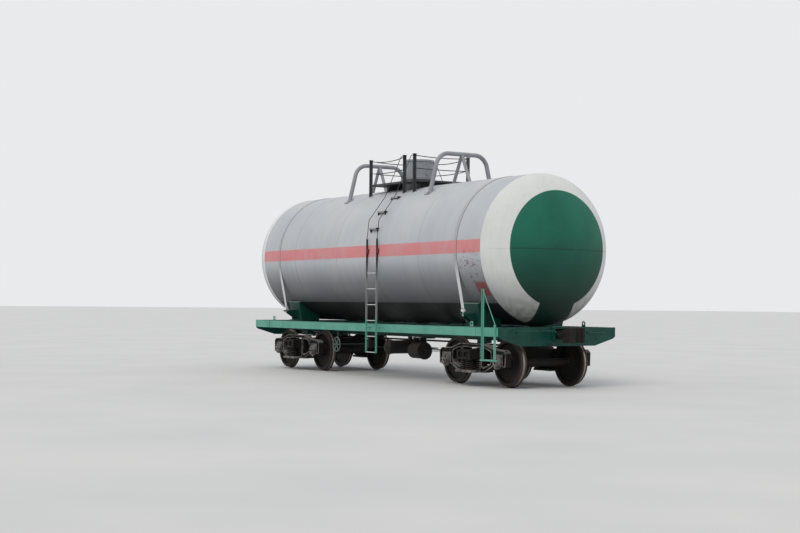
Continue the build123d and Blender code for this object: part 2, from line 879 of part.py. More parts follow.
# Crash arcs: bent tubes that guard the roof fittings, each with two braces along the roof
# and a pad under each foot
arc_foot_z = axis_z + sqrt(tank_r**2 - arc_foot_y**2)
arc_top_z = crown_z + arc_rise - arc_r
foot_angle = asin(arc_foot_y / tank_r)
with BuildPart() as arc:
    with BuildLine(Plane.YZ):
        FilletPolyline(
            (-arc_foot_y, arc_foot_z - 60),
            (-arc_shoulder_y, arc_top_z),
            (arc_shoulder_y, arc_top_z),
            (arc_foot_y, arc_foot_z - 60),
            radius=arc_bend,
        )
    with BuildSketch(Plane.XY.offset(arc_foot_z - 60)):
        with Locations((0, -arc_foot_y)):
            Circle(arc_r)
    sweep()
    for spread in (-brace_spread, brace_spread):
        with BuildLine(Plane.XZ):
            brace_line = Line((spread, crown_z - 40), (0, arc_top_z))
        with BuildSketch(Plane(brace_line @ 0, z_dir=brace_line % 0)):
            Circle(brace_r)
        sweep(path=brace_line)
        with Locations((spread, 0, crown_z)):
            Box(0.6 * arc_pad, 0.6 * arc_pad, arc_pad_t)
    for side in (-1, 1):
        with Locations(Location((0, side * arc_foot_y, arc_foot_z), (-side * degrees(foot_angle), 0, 0))):
            Box(arc_pad, arc_pad, 2 * arc_pad_t)
    with BuildSketch(Plane.YZ.offset(-2 * brace_spread)):
        with Locations((0, axis_z)):
            Circle(tank_r)
    extrude(amount=4 * brace_spread, mode=Mode.SUBTRACT)
for end, x in (("a", roof_x + arc_x), ("b", roof_x - arc_x)):
    with BuildPart() as placed_arc:
        with Locations((x, 0, 0)):
            add(arc.part)
    placed_arc.part.label = f"crash_arc_{end}"
    export_step(placed_arc.part, f"parts/crash_arc_{end}.step")

# The roof pieces below are drawn about the middle of the roof deck and placed together
roof_pieces = []

# Roof deck: a plate with a turned-down edge, on two bearers along the crown, with a hole
# for the valve hood
with BuildPart() as roof_deck:
    with Locations((0, 0, deck_top - deck_edge / 2)):
        Box(2 * deck_half, 2 * deck_y, deck_edge)
    with Locations((0, 0, deck_low - deck_edge / 2)):
        Box(2 * (deck_half - step_t), 2 * (deck_y - step_t), deck_edge, mode=Mode.SUBTRACT)
    bearer_low = axis_z + sqrt(tank_r**2 - bearer_half**2) - bearer_w / 2
    for x in (-bearer_x, bearer_x):
        with Locations((x, 0, (bearer_low + deck_low) / 2)):
            Box(bearer_w, 2 * bearer_half, deck_low - bearer_low)
    with BuildSketch(Plane.YZ.offset(-deck_half)):
        with Locations((0, axis_z)):
            Circle(tank_r)
    extrude(amount=2 * deck_half, mode=Mode.SUBTRACT)
    with BuildSketch(Plane.XY.offset(crown_z)):
        Circle(hood_r + 15)
    extrude(amount=200, mode=Mode.SUBTRACT)
roof_pieces.append(("roof_deck", roof_deck))

# Roof rails: corner and gate posts that stand on the shell, each with a small cap, and slack
# rods between them
post_y = deck_y + post_w / 2
corner_x = deck_half - 20
shell_at_post = axis_z + sqrt(tank_r**2 - (post_y - post_w / 2) ** 2)
rail_top = post_top - post_w / 2
rail_mid = deck_low + (rail_top - deck_low) / 2
post_len = post_top - shell_at_post + post_w
with BuildPart() as roof_rails:
    for flip in (1, -1):
        rail_y = -flip * (post_y - post_w / 2 + post_t / 2)
        for x in (-corner_x, gate_x, corner_x):
            with Locations((flip * x, -flip * post_y, post_top - post_len / 2)):
                Box(post_w, post_w, post_len)
            with Locations((flip * (x + post_t), -flip * (post_y + post_t), post_top - post_len / 2)):
                Box(post_w, post_w, post_len, mode=Mode.SUBTRACT)
            with Locations((flip * x, -flip * post_y, post_top - post_t / 2)):
                Box(post_cap, post_cap, post_t)
        for z, dip in ((rail_top, sag), (rail_mid, sag / 2)):
            start = (-flip * corner_x, rail_y, z)
            middle = (flip * (gate_x - corner_x) / 2, rail_y, z - dip)
            stop = (flip * gate_x, rail_y, z)
            with BuildLine():
                rod_line = ThreePointArc(start, middle, stop)
            with BuildSketch(Plane(rod_line @ 0, z_dir=rod_line % 0)):
                Circle(rail_r)
            sweep(path=rod_line)
            across = flip * (corner_x - post_w / 2 + post_t / 2)
            with BuildLine():
                rod_line = ThreePointArc((across, -post_y, z), (across, 0, z - dip / 2), (across, post_y, z))
            with BuildSketch(Plane(rod_line @ 0, z_dir=rod_line % 0)):
                Circle(rail_r)
            sweep(path=rod_line)
    with BuildSketch(Plane.YZ.offset(-deck_half - post_w)):
        with Locations((0, axis_z)):
            Circle(tank_r)
    extrude(amount=2 * (deck_half + post_w), mode=Mode.SUBTRACT)
roof_pieces.append(("roof_rails", roof_rails))

# Valve group: the manhole neck and cover on the crown, with the filling and relief valves
neck_r = 265
cover_h = 45
valve_r = 38
valve_h = 250
relief_r = 60
relief_h = 300
valve_flange_w = 14
valve_flange_h = 18
base_top = crown_z + hood_base_rise
neck_top = base_top - 60
valve_places = (
    (0, 0, relief_r, relief_h),
    (130, 110, valve_r, valve_h),
    (130, -110, valve_r, valve_h),
    (-140, 0, valve_r, valve_h),
)
with BuildPart() as valve_group:
    with BuildSketch(Plane.XY.offset(crown_z - 60)):
        Circle(neck_r - 15)
    extrude(amount=neck_top - crown_z + 60)
    with BuildSketch(Plane.XY.offset(neck_top)):
        Circle(neck_r + 35)
    extrude(amount=cover_h)
    for x, y, radius, height in valve_places:
        with BuildSketch(Plane.XY.offset(neck_top + cover_h)):
            with Locations((x, y)):
                Circle(radius)
        extrude(amount=height)
        with BuildSketch(Plane.XY.offset(neck_top + cover_h + height)):
            with Locations((x, y)):
                Circle(radius + valve_flange_w)
        extrude(amount=valve_flange_h)
    with BuildSketch(Plane.YZ.offset(-neck_r)):
        with Locations((0, axis_z)):
            Circle(tank_r)
    extrude(amount=2 * neck_r, mode=Mode.SUBTRACT)
roof_pieces.append(("valve_group", valve_group))

# Hood base: the ring wall round the valves, with a flange at its top and the fixed hinge ears
hinge_x = -hood_r - hinge_out
hinge_z = base_top - hinge_down
with BuildPart() as hood_base:
    with BuildSketch(Plane.XY.offset(crown_z - 60)):
        Circle(hood_r)
        Circle(hood_r - hood_base_t, mode=Mode.SUBTRACT)
    extrude(amount=base_top - crown_z + 60)
    with BuildSketch(Plane.YZ.offset(-hood_r)):
        with Locations((0, axis_z)):
            Circle(tank_r)
    extrude(amount=2 * hood_r, mode=Mode.SUBTRACT)
    with BuildSketch(Plane.XY.offset(base_top - hood_flange_h)):
        Circle(hood_r + hood_flange_w)
        Circle(hood_r - hood_base_t, mode=Mode.SUBTRACT)
    extrude(amount=hood_flange_h)
    for y in (-90, 90):
        with BuildSketch(Plane.XZ.offset(-y - 10)):
            with Locations((hinge_x, hinge_z)):
                Circle(hinge_r)
            with Locations((hinge_x + hinge_out / 2, hinge_z - 30)):
                Rectangle(hinge_out + 10, 60)
        extrude(amount=20)
    with BuildSketch(Plane.XZ.offset(-110)):
        with Locations((hinge_x, hinge_z)):
            Circle(hinge_pin_r)
    extrude(amount=220)
roof_pieces.append(("hood_base", hood_base))

# Hood: the ribbed protective cap over the valves, flanged at its foot and its lid, which
# tips back on its hinge
hood_h = hood_rise - hood_base_rise - 20
hood_low = base_top + bearing_gap
with BuildPart() as hood:
    with BuildSketch(Plane.XY.offset(hood_low)):
        Circle(hood_r)
        with PolarLocations(hood_r, hood_ribs):
            Circle(hood_rib_r)
    extrude(amount=hood_h)
    for z in (hood_low, hood_low + hood_h - hood_flange_h):
        with BuildSketch(Plane.XY.offset(z)):
            Circle(hood_r + hood_flange_w)
        extrude(amount=hood_flange_h)
    with BuildSketch(Plane.XY.offset(hood_low)):
        Circle(hood_r - hood_t)
    extrude(amount=hood_h - 10, mode=Mode.SUBTRACT)
    for y in (-65, 65):
        with BuildSketch(Plane.XZ.offset(-y - 10)):
            with Locations((hinge_x, hinge_z)):
                Circle(hinge_r)
            with Locations((hinge_x + hinge_out / 2 + 4, hood_low + 11)):
                Rectangle(hinge_out - 4, 22)
            with Locations((hinge_x - 6, hood_low)):
                Rectangle(20, 44)
            with Locations((hinge_x, hinge_z)):
                Circle(hinge_pin_r + bearing_gap, mode=Mode.SUBTRACT)
        extrude(amount=20)
roof_pieces.append(("hood", hood))

# Ladders: flat stiles with round rungs up the widest part of the shell, then thin handrails
# that lean in over the shell and bend to the tops of the gate posts
for name, flip in (("ladder_right", 1), ("ladder_left", -1)):
    with BuildPart() as ladder:
        low = rail_z + ladder_low
        high = axis_z + ladder_over
        bends = [(rod_gap + tank_r, radians(angle)) for angle in rod_angles]
        for dx, post_x in ((-ladder_w / 2, gate_x), (ladder_w / 2, corner_x)):
            x = flip * (ladder_dx + dx)
            with Locations((x, -flip * ladder_y, (low + high) / 2)):
                Box(stile_t, stile_w, high - low)
            with BuildLine():
                rod_line = FilletPolyline(
                    (x, -flip * (ladder_y + rod_r), high - 60),
                    *[(x, -flip * r * cos(angle), axis_z + r * sin(angle)) for r, angle in bends],
                    (x + flip * rod_lean, -flip * (post_y + post_w / 4), rail_top),
                    (flip * (post_x - post_w / 2 - seat_gap), -flip * (post_y + post_w / 4), rail_top),
                    radius=rod_bends,
                )
            with BuildSketch(Plane(rod_line @ 0, z_dir=rod_line % 0)):
                Circle(rod_r)
            sweep(path=rod_line)
            for z, inner in ((top_z - sill_h / 2, sill_y), (axis_z - 26, tank_r - 6)):
                span = ladder_y - stile_w / 2 - inner
                with Locations((x, -flip * (inner + span / 2), z)):
                    Box(ladder_foot_w, span, ladder_foot_h)
        for number in range(rung_count):
            z = low + 14 + number * rung_pitch
            with Locations(Location((flip * ladder_dx, -flip * ladder_y, z), (0, 90, 0))):
                Cylinder(rung_r, ladder_w - stile_t - 2 * seat_gap)
        with BuildSketch(Plane.YZ.offset(-2 * ladder_dx)):
            with Locations((0, axis_z)):
                Circle(tank_r)
        extrude(amount=4 * ladder_dx, mode=Mode.SUBTRACT)
    roof_pieces.append((name, ladder))

# Shell steps: tread plates with a lip, each between two brackets that taper to the shell, in
# line with each ladder
for name, flip in (("shell_steps_right", 1), ("shell_steps_left", -1)):
    with BuildPart() as shell_steps:
        for angle in step_angles:
            foot_a = radians(angle - step_fall)
            y_in = tank_r * cos(radians(angle)) - step_d
            y_out = tank_r * cos(radians(angle)) + step_d
            z = axis_z + tank_r * sin(radians(angle)) + step_lip / 2
            x = flip * (ladder_dx - step_dx)
            with Locations((x, -flip * (y_in + y_out) / 2, z - step_t / 2)):
                Box(step_w, y_out - y_in, step_t)
            with Locations((x, -flip * (y_out - step_t / 2), z - step_lip / 2)):
                Box(step_w, step_t, step_lip)
            for dx in (-step_w / 2, step_w / 2 - step_t):
                with BuildSketch(Plane.YZ.offset(x + dx)):
                    with BuildLine():
                        Polyline(
                            (-flip * y_in, z),
                            (-flip * y_out, z),
                            (-flip * y_out, z - step_lip),
                            (-flip * tank_r * cos(foot_a), axis_z + tank_r * sin(foot_a)),
                            (-flip * y_in, axis_z + tank_r * sin(foot_a)),
                            close=True,
                        )
                    make_face()
                extrude(amount=step_t)
        with BuildSketch(Plane.YZ.offset(-2 * ladder_dx)):
            with Locations((0, axis_z)):
                Circle(tank_r)
        extrude(amount=4 * ladder_dx, mode=Mode.SUBTRACT)
    roof_pieces.append((name, shell_steps))

for name, piece in roof_pieces:
    with BuildPart() as placed_piece:
        with Locations((roof_x, 0, 0)):
            add(piece.part)
    placed_piece.part.label = name
    export_step(placed_piece.part, f"parts/{name}.step")

# Corner steps: two posts with a tread below the sill, and a slanted rod between their tops
for end, flip in (("a", 1), ("b", -1)):
    with BuildPart() as corner_step:
        face_y = sill_y + doubler_t
        low = rail_z + corner_low
        for x, high, width in ((corner_x_in, rail_z + corner_high, 50), (corner_x_out, top_z + 50, 30)):
            with Locations((flip * x, -flip * (face_y + 20), (low + high) / 2)):
                Box(width, 40, high - low)
            if width == 50:
                with Locations((flip * (x + 6), -flip * (face_y + 26), (low + high) / 2)):
                    Box(width, 40, high - low, mode=Mode.SUBTRACT)
        mid_x = (corner_x_in + corner_x_out) / 2
        with Locations((flip * mid_x, -flip * (face_y + 20), low + 20)):
            Box(corner_x_out - corner_x_in, 120, 30)
        with BuildLine():
            rod_line = Line(
                (flip * (corner_x_in - 10), -flip * (face_y + 10), rail_z + corner_high - 20),
                (flip * corner_x_out, -flip * (face_y + 10), top_z + 40),
            )
        with BuildSketch(Plane(rod_line @ 0, z_dir=rod_line % 0)):
            Circle(rod_r)
        sweep(path=rod_line)
    corner_step.part.label = f"corner_step_{end}"
    export_step(corner_step.part, f"parts/corner_step_{end}.step")

# Air reservoir: a drum with domed ends, hung across the car under the centre sill
with BuildPart() as air_reservoir:
    with BuildSketch(Plane.XY):
        with BuildLine():
            Polyline(
                (0, -drum_half - 60),
                (drum_r / 2, -drum_half - 52),
                (drum_r - 24, -drum_half - 26),
                (drum_r, -drum_half),
                (drum_r, drum_half),
                (drum_r - 24, drum_half + 26),
                (drum_r / 2, drum_half + 52),
                (0, drum_half + 60),
                close=True,
            )
        make_face()
    revolve(axis=Axis.Y)
    block_h = spine_z - rail_z - drum_z
    for y in (-drum_y - spine_y - spine_flange / 2, -drum_y + spine_y):
        with Locations((0, y, block_h / 2)):
            Box(70, 60, block_h)
with BuildPart() as placed_reservoir:
    with Locations((drum_x, drum_y, rail_z + drum_z)):
        add(air_reservoir.part)
placed_reservoir.part.label = "air_reservoir"
export_step(placed_reservoir.part, "parts/air_reservoir.step")

# Brake cylinder: a cylinder with a bolted cover and its push rod, on a bracket under the
# centre sill flange
rod_tip = cylinder_x + cylinder_len / 2 + 130
with BuildPart() as brake_cylinder:
    with Locations(Location((cylinder_x, cylinder_y, rail_z + cylinder_z), (0, 90, 0))):
        Cylinder(cylinder_r, cylinder_len)
    with Locations(Location((cylinder_x + cylinder_len / 2, cylinder_y, rail_z + cylinder_z), (0, 90, 0))):
        Cylinder(cylinder_r + 18, 30)
    with BuildSketch(Plane.YZ.offset(cylinder_x)):
        with Locations((cylinder_y, rail_z + cylinder_z)):
            Circle(24)
    extrude(amount=rod_tip - cylinder_x)
    plate_y = (cylinder_y - 80 - spine_y) / 2
    with Locations((cylinder_x, plate_y, spine_z - 12)):
        Box(cylinder_len - 60, -cylinder_y + 80 - spine_y, 24)
    for dx in (-130, 130):
        with Locations((cylinder_x + dx, cylinder_y, (spine_z - 24 + rail_z + cylinder_z) / 2)):
            Box(16, 150, spine_z - 24 - rail_z - cylinder_z)
brake_cylinder.part.label = "brake_cylinder"
export_step(brake_cylinder.part, "parts/brake_cylinder.step")

# Air distributor: a cast body with two round covers on its bracket
with BuildPart() as distributor:
    with Locations((-cylinder_x, valve_y, rail_z + 700)):
        Box(200, 200, 190)
    for dx in (-130, 130):
        with Locations(Location((-cylinder_x + dx, valve_y, rail_z + 700), (0, 90, 0))):
            Cylinder(88, 60)
    with Locations((-cylinder_x, valve_y - 20, (rail_z + 795 + spine_z) / 2)):
        Box(120, 16, spine_z - rail_z - 795)
    with Locations((-cylinder_x, (valve_y + spine_y) / 2, spine_z - 6)):
        Box(160, valve_y - spine_y, 12)
distributor.part.label = "air_distributor"
export_step(distributor.part, "parts/air_distributor.step")

# Brake rodding: two levers, the tie rod between them and a pull rod to each bogie
with BuildPart() as brake_rods:
    lever_z = rail_z + cylinder_z
    for x, low_y, high_y in ((rod_tip + 25, cylinder_y - 40, tie_y + 40), (-rod_tip - 25, -60, tie_y + 40)):
        with Locations((x, (low_y + high_y) / 2, lever_z)):
            Box(50, high_y - low_y, 16)
    with Locations(Location((0, tie_y, lever_z), (0, 90, 0))):
        Cylinder(12, 2 * rod_tip + 20)
    for end in (-1, 1):
        length = bogie_x - pull_stop - rod_tip - 25
        with Locations(Location((end * (rod_tip + 25 + length / 2), 0, lever_z), (0, 90, 0))):
            Cylinder(12, length)
        with Locations((end * (bogie_x - pull_stop), 0, lever_z)):
            Box(70, 40, 50)
brake_rods.part.label = "brake_rods"
export_step(brake_rods.part, "parts/brake_rods.step")

# Brake pipe: the through pipe under the sill flanges, with clips and an end cock at each end
pipe_y = spine_y + spine_flange - 20
with BuildPart() as brake_pipe:
    with BuildLine():
        pipe_line = FilletPolyline(
            (-frame_half_len - 60, pipe_y, rail_z + pipe_z),
            (1500, pipe_y, rail_z + pipe_z),
            (2800, -pipe_y, rail_z + pipe_z),
            (frame_half_len + 60, -pipe_y, rail_z + pipe_z),
            radius=500,
        )
    with BuildSketch(Plane.YZ.offset(-frame_half_len - 60)):
        with Locations((pipe_y, rail_z + pipe_z)):
            Circle(pipe_r)
    sweep(path=pipe_line)
    for x, side in ((-5000, 1), (-2600, 1), (-400, 1), (1200, 1), (3200, -1), (5000, -1)):
        with Locations((x, side * pipe_y, (rail_z + pipe_z + spine_z) / 2)):
            Box(40, 12, spine_z - rail_z - pipe_z)
    for end in (-1, 1):
        x = end * (frame_half_len + 60)
        with Locations(Location((x, -end * pipe_y, rail_z + pipe_z), (0, 90, 0))):
            Cylinder(36, 80)
        with Locations((x, -end * pipe_y, rail_z + pipe_z + 40)):
            Cylinder(14, 50)
        with Locations((x + end * 10, -end * pipe_y, rail_z + pipe_z + 69)):
            Box(90, 26, 10)
        with BuildSketch(Plane.YZ.offset(x + end * 30)):
            with Locations((-end * pipe_y, rail_z + pipe_z)):
                Circle(nozzle_r)
        extrude(amount=end * 80)
brake_pipe.part.label = "brake_pipe"
export_step(brake_pipe.part, "parts/brake_pipe.step")

# Parking brake: a bracket down from the side sill, a gear case under the centre sill flange,
# and a hand wheel on a cross shaft that runs in both
wheel_z = rail_z + handwheel_z
case_y = -case_face + case_d / 2
with BuildPart() as brake_bracket:
    with BuildSketch(Plane.XZ.offset(bracket_y)):
        with Locations((handwheel_x, (low_z + wheel_z) / 2)):
            Rectangle(5 * shaft_r, low_z - wheel_z)
        with Locations((handwheel_x, wheel_z)):
            Circle(2.5 * shaft_r)
            Circle(shaft_r + bearing_gap, mode=Mode.SUBTRACT)
    extrude(amount=sill_t)
    with Locations((handwheel_x, case_y, wheel_z)):
        Box(case_w, case_d, case_h)
    with Locations((handwheel_x, case_y, (wheel_z + spine_z) / 2)):
        Box(case_w / 2, case_d / 2, spine_z - wheel_z)
    with Locations((handwheel_x, (case_y - case_d / 4 - spine_y) / 2, spine_z - spine_t)):
        Box(0.9 * case_w, -case_y + case_d / 4 - spine_y, 2 * spine_t)
    with BuildSketch(Plane.XZ.offset(case_face)):
        with Locations((handwheel_x, wheel_z)):
            Circle(shaft_r + bearing_gap)
    extrude(amount=-0.7 * case_d, mode=Mode.SUBTRACT)
brake_bracket.part.label = "parking_brake_case"
export_step(brake_bracket.part, "parts/parking_brake_case.step")

with BuildPart() as handwheel:
    with BuildSketch(Plane.XY.offset(wheel_z)):
        with Locations((handwheel_x + handwheel_r, -handwheel_y)):
            Circle(13)
    revolve(axis=Axis((handwheel_x, -handwheel_y, wheel_z), (0, 1, 0)))
    with BuildSketch(Plane.XZ.offset(handwheel_y - 7)):
        with Locations((handwheel_x, wheel_z)):
            for angle in (0, 60, 120):
                with Locations(Location((0, 0, 0), angle)):
                    Rectangle(2 * handwheel_r - 10, 22)
            Circle(38)
    extrude(amount=14)
    with BuildSketch(Plane.XZ.offset(handwheel_y + 12)):
        with Locations((handwheel_x, wheel_z)):
            Circle(shaft_r)
    extrude(amount=-(handwheel_y + 12 - case_face + 0.6 * case_d))
handwheel.part.label = "handwheel"
export_step(handwheel.part, "parts/handwheel.step")

# Tow lugs: eye plates on the side sills for a shunting rope
with BuildPart() as tow_lugs:
    for x in (-lug_x, lug_x):
        for side in (-1, 1):
            with BuildSketch(Plane.XZ.offset(-side * lug_y - lug_t / 2)):
                with BuildLine():
                    Polyline(
                        (x - 55, top_z),
                        (x + 55, top_z),
                        (x + 50, top_z + lug_h - 25),
                        (x + 25, top_z + lug_h),
                        (x - 25, top_z + lug_h),
                        (x - 50, top_z + lug_h - 25),
                        close=True,
                    )
                make_face()
                with Locations((x, top_z + lug_h / 2 + 5)):
                    Circle(lug_hole_r, mode=Mode.SUBTRACT)
            extrude(amount=lug_t)
tow_lugs.part.label = "tow_lugs"
export_step(tow_lugs.part, "parts/tow_lugs.step")
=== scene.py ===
# %% [markdown]
# # A railway tank car
# This lesson dresses a finished CAD model of a four-axle tank car. The CAD parts come in at their
# real size and never move. Here they get their paint, rust, dust and polish, and the small things
# that a workshop would add last: weld beads, bolts, spring coils and rods.

# %% Load the frame
import bpy
import bmesh
import json
from math import cos, pi, radians, sin, sqrt
from mathutils import Matrix, Vector


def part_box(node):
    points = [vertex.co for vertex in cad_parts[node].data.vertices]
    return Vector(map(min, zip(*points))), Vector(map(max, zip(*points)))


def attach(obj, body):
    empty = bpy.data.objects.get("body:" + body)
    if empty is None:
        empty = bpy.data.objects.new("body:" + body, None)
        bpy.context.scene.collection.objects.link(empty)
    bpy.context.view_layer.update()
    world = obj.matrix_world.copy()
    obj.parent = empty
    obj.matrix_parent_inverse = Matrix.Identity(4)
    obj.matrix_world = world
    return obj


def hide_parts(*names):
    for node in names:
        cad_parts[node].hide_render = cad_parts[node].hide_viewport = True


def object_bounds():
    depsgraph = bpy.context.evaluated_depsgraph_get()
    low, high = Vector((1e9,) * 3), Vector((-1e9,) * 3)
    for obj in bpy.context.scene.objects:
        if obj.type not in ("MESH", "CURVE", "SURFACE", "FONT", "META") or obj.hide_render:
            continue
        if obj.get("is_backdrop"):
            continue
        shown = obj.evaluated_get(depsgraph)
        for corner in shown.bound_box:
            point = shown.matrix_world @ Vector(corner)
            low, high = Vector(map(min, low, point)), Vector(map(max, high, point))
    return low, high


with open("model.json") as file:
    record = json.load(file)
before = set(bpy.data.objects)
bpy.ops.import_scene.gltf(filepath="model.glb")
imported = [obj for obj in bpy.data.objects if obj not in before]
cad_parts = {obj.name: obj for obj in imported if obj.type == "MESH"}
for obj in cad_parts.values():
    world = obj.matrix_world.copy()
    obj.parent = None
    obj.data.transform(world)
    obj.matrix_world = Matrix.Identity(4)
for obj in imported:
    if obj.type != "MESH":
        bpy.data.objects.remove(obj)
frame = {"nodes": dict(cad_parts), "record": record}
nodes = frame["nodes"]
cad_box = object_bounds()
print("nodes:", len(nodes), "box:", [round(v, 3) for v in (*cad_box[0], *cad_box[1])])

# %% [markdown]
# ## Sizes read from the frame
# Most sizes come from the boxes of the CAD nodes: the tank's radius and axis, the wheels, the
# sills and the roof, so the finish follows the metal if one of them changes. A place that no box
# can give, such as a seam or a bolt, is a named value in the cell that uses it.

# %% Sizes of the tank and the wheels
barrel_low, barrel_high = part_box("tank_barrel")
tank_radius = (barrel_high.z - barrel_low.z) / 2
tank_axis = (barrel_high.z + barrel_low.z) / 2
barrel_end = barrel_high.x
wheel_low, wheel_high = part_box("wheels_a1")
flange_tip_radius = (wheel_high.z - wheel_low.z) / 2
flange_height = 0.028
tread_radius = flange_tip_radius - flange_height
axle_height = (wheel_high.z + wheel_low.z) / 2
bogie_centre = (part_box("wheels_a1")[1].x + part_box("wheels_a2")[0].x) / 2
half_wheelbase = (wheel_high.x + wheel_low.x) / 2 - bogie_centre
print("tank radius", round(tank_radius, 3), "tread radius", round(tread_radius, 4))

# %% [markdown]
# ## Small helpers for every finish
# A finish is a chain of nodes. One function turns a hex colour, as a paint chart gives it, into
# the linear values that Blender mixes. One adds a node with its settings and feeds each of its
# sockets a value, a colour or another socket. One starts a new material. Two more stand for the
# nodes that come up most often: a sum, and a ramp from one span of values to another.

# %% Colour and node helpers
def linear(hex_colour):
    channels = [int(hex_colour[i:i + 2], 16) / 255 for i in (1, 3, 5)]
    return (*[c / 12.92 if c <= 0.04045 else ((c + 0.055) / 1.055) ** 2.4 for c in channels], 1.0)


def add_node(tree, kind, settings=None, feeds=None):
    made = tree.nodes.new(kind)
    for name, value in (settings or {}).items():
        setattr(made, name, value)
    for socket, value in (feeds or {}).items():
        if isinstance(value, bpy.types.NodeSocket):
            tree.links.new(value, made.inputs[socket])
        else:
            made.inputs[socket].default_value = linear(value) if isinstance(value, str) else value
    return made


def reckon(tree, operation, *terms):
    """The result of one sum on one or two terms."""
    result = add_node(tree, "ShaderNodeMath", {"operation": operation}, dict(enumerate(terms)))
    return result.outputs[0]


def ramp(tree, value, low, high, at_low=0, at_high=1):
    """A value that runs from at_low to at_high while another runs from low to high."""
    return add_node(tree, "ShaderNodeMapRange", feeds={
        "Value": value, "From Min": low, "From Max": high,
        "To Min": at_low, "To Max": at_high}).outputs[0]


def new_finish(name):
    material = bpy.data.materials.new(name)
    material.use_nodes = True
    material.node_tree.nodes.clear()
    return material, material.node_tree


print("white is", linear("#FFFFFF"))

# %% [markdown]
# ## Masks: where a colour or a stain goes
# Real paint varies in two ways. Some edges are placed by a painter, such as a stripe at a set
# height, and those are bands along an axis of the car. Others grow by chance, such as dust,
# streaks and rust, and those are blotches of noise with a real size in millimetres. Two more
# masks follow the distance from a point or a line and the way a face looks. All give a value from
# 0 to 1. A band that is open on one side runs to `bottom` or `top`, which lie outside the car.

# %% Masks by place and by chance
bottom, top = -1, 9


def place_along(tree, axis):
    """The place along one axis of the car, in metres."""
    place = add_node(tree, "ShaderNodeTexCoord")
    split = add_node(tree, "ShaderNodeSeparateXYZ", feeds={0: place.outputs["Object"]})
    return split.outputs[axis]


def band(tree, axis, low, high, soft_mm=8):
    """1 from low to high metres along an axis, with edges that are soft_mm wide."""
    place = place_along(tree, axis)
    soft = soft_mm / 2000
    rise = ramp(tree, place, low - soft, low + soft)
    fall = ramp(tree, place, high - soft, high + soft, 1, 0)
    return reckon(tree, "MULTIPLY", rise, fall)


def blotches(tree, size_mm, low, high, stretch=(1, 1, 1), detail=4.0, shift=0.0):
    """Noise of a size in millimetres: 0 where it is under low and 1 where it is over high."""
    place = add_node(tree, "ShaderNodeTexCoord")
    spread = add_node(tree, "ShaderNodeMapping", feeds={
        "Vector": place.outputs["Object"], "Scale": stretch, "Location": (shift, shift, shift)})
    noise = add_node(tree, "ShaderNodeTexNoise", feeds={
        "Vector": spread.outputs[0], "Scale": 1000 / size_mm, "Detail": detail})
    return ramp(tree, noise.outputs[0], low, high)


def length_of(tree, vector):
    length = add_node(tree, "ShaderNodeVectorMath", {"operation": "LENGTH"}, {0: vector})
    return length.outputs["Value"]


def reach(tree, centre, near, far, flat_axis=None):
    """1 within near metres of a point or, with a flat axis, of a line along it; 0 beyond far."""
    place = add_node(tree, "ShaderNodeTexCoord")
    away = add_node(tree, "ShaderNodeVectorMath", {"operation": "SUBTRACT"},
                    {0: place.outputs["Object"], 1: centre})
    keep = [0 if axis == flat_axis else 1 for axis in (0, 1, 2)]
    flat = add_node(tree, "ShaderNodeVectorMath", {"operation": "MULTIPLY"},
                    {0: away.outputs[0], 1: keep})
    return ramp(tree, length_of(tree, flat.outputs[0]), near, far, 1, 0)


def facing_up(tree, low, high):
    """0 on faces whose normal rises by less than low, 1 on those that look up."""
    geometry = add_node(tree, "ShaderNodeNewGeometry")
    split = add_node(tree, "ShaderNodeSeparateXYZ", feeds={0: geometry.outputs["Normal"]})
    return ramp(tree, split.outputs[2], low, high)


print("masks ready: band, blotches, reach, facing_up")

# %% [markdown]
# ## Laying one coat over another
# A painter works in coats: primer, colour, stripe, then dirt that nobody asked for. The function
# below lays a colour over what is already there wherever all of its masks agree. Another closes
# the chain in one surface shader, with bump from a height in millimetres, and the last lets a
# roughness follow a mask.

# %% Coats and the closing shader
weathered_specular = 0.3


def coat(tree, under, over, *masks, strength=1.0):
    """Lay the colour over on the colour under where all masks agree."""
    cover = masks[0]
    for mask in masks[1:]:
        cover = reckon(tree, "MULTIPLY", cover, mask)
    if strength < 1:
        cover = reckon(tree, "MULTIPLY", cover, strength)
    mix = add_node(tree, "ShaderNodeMix", {"data_type": "RGBA"}, {0: cover, 6: under, 7: over})
    return mix.outputs[2]


def close_finish(tree, colour, roughness, metallic=0.0, height=None, depth_mm=0.5):
    shader = add_node(tree, "ShaderNodeBsdfPrincipled", feeds={
        "Base Color": colour, "Roughness": roughness, "Metallic": metallic,
        "Specular IOR Level": weathered_specular})
    if height is not None:
        bump = add_node(tree, "ShaderNodeBump", feeds={
            "Height": height, "Strength": 1.0, "Distance": depth_mm / 1000})
        tree.links.new(bump.outputs[0], shader.inputs["Normal"])
    add_node(tree, "ShaderNodeOutputMaterial", feeds={"Surface": shader.outputs[0]})


def between(tree, mask, at_0, at_1):
    """A value that runs from at_0 to at_1 with a mask."""
    return ramp(tree, mask, 0, 1, at_0, at_1)


print("coats ready")
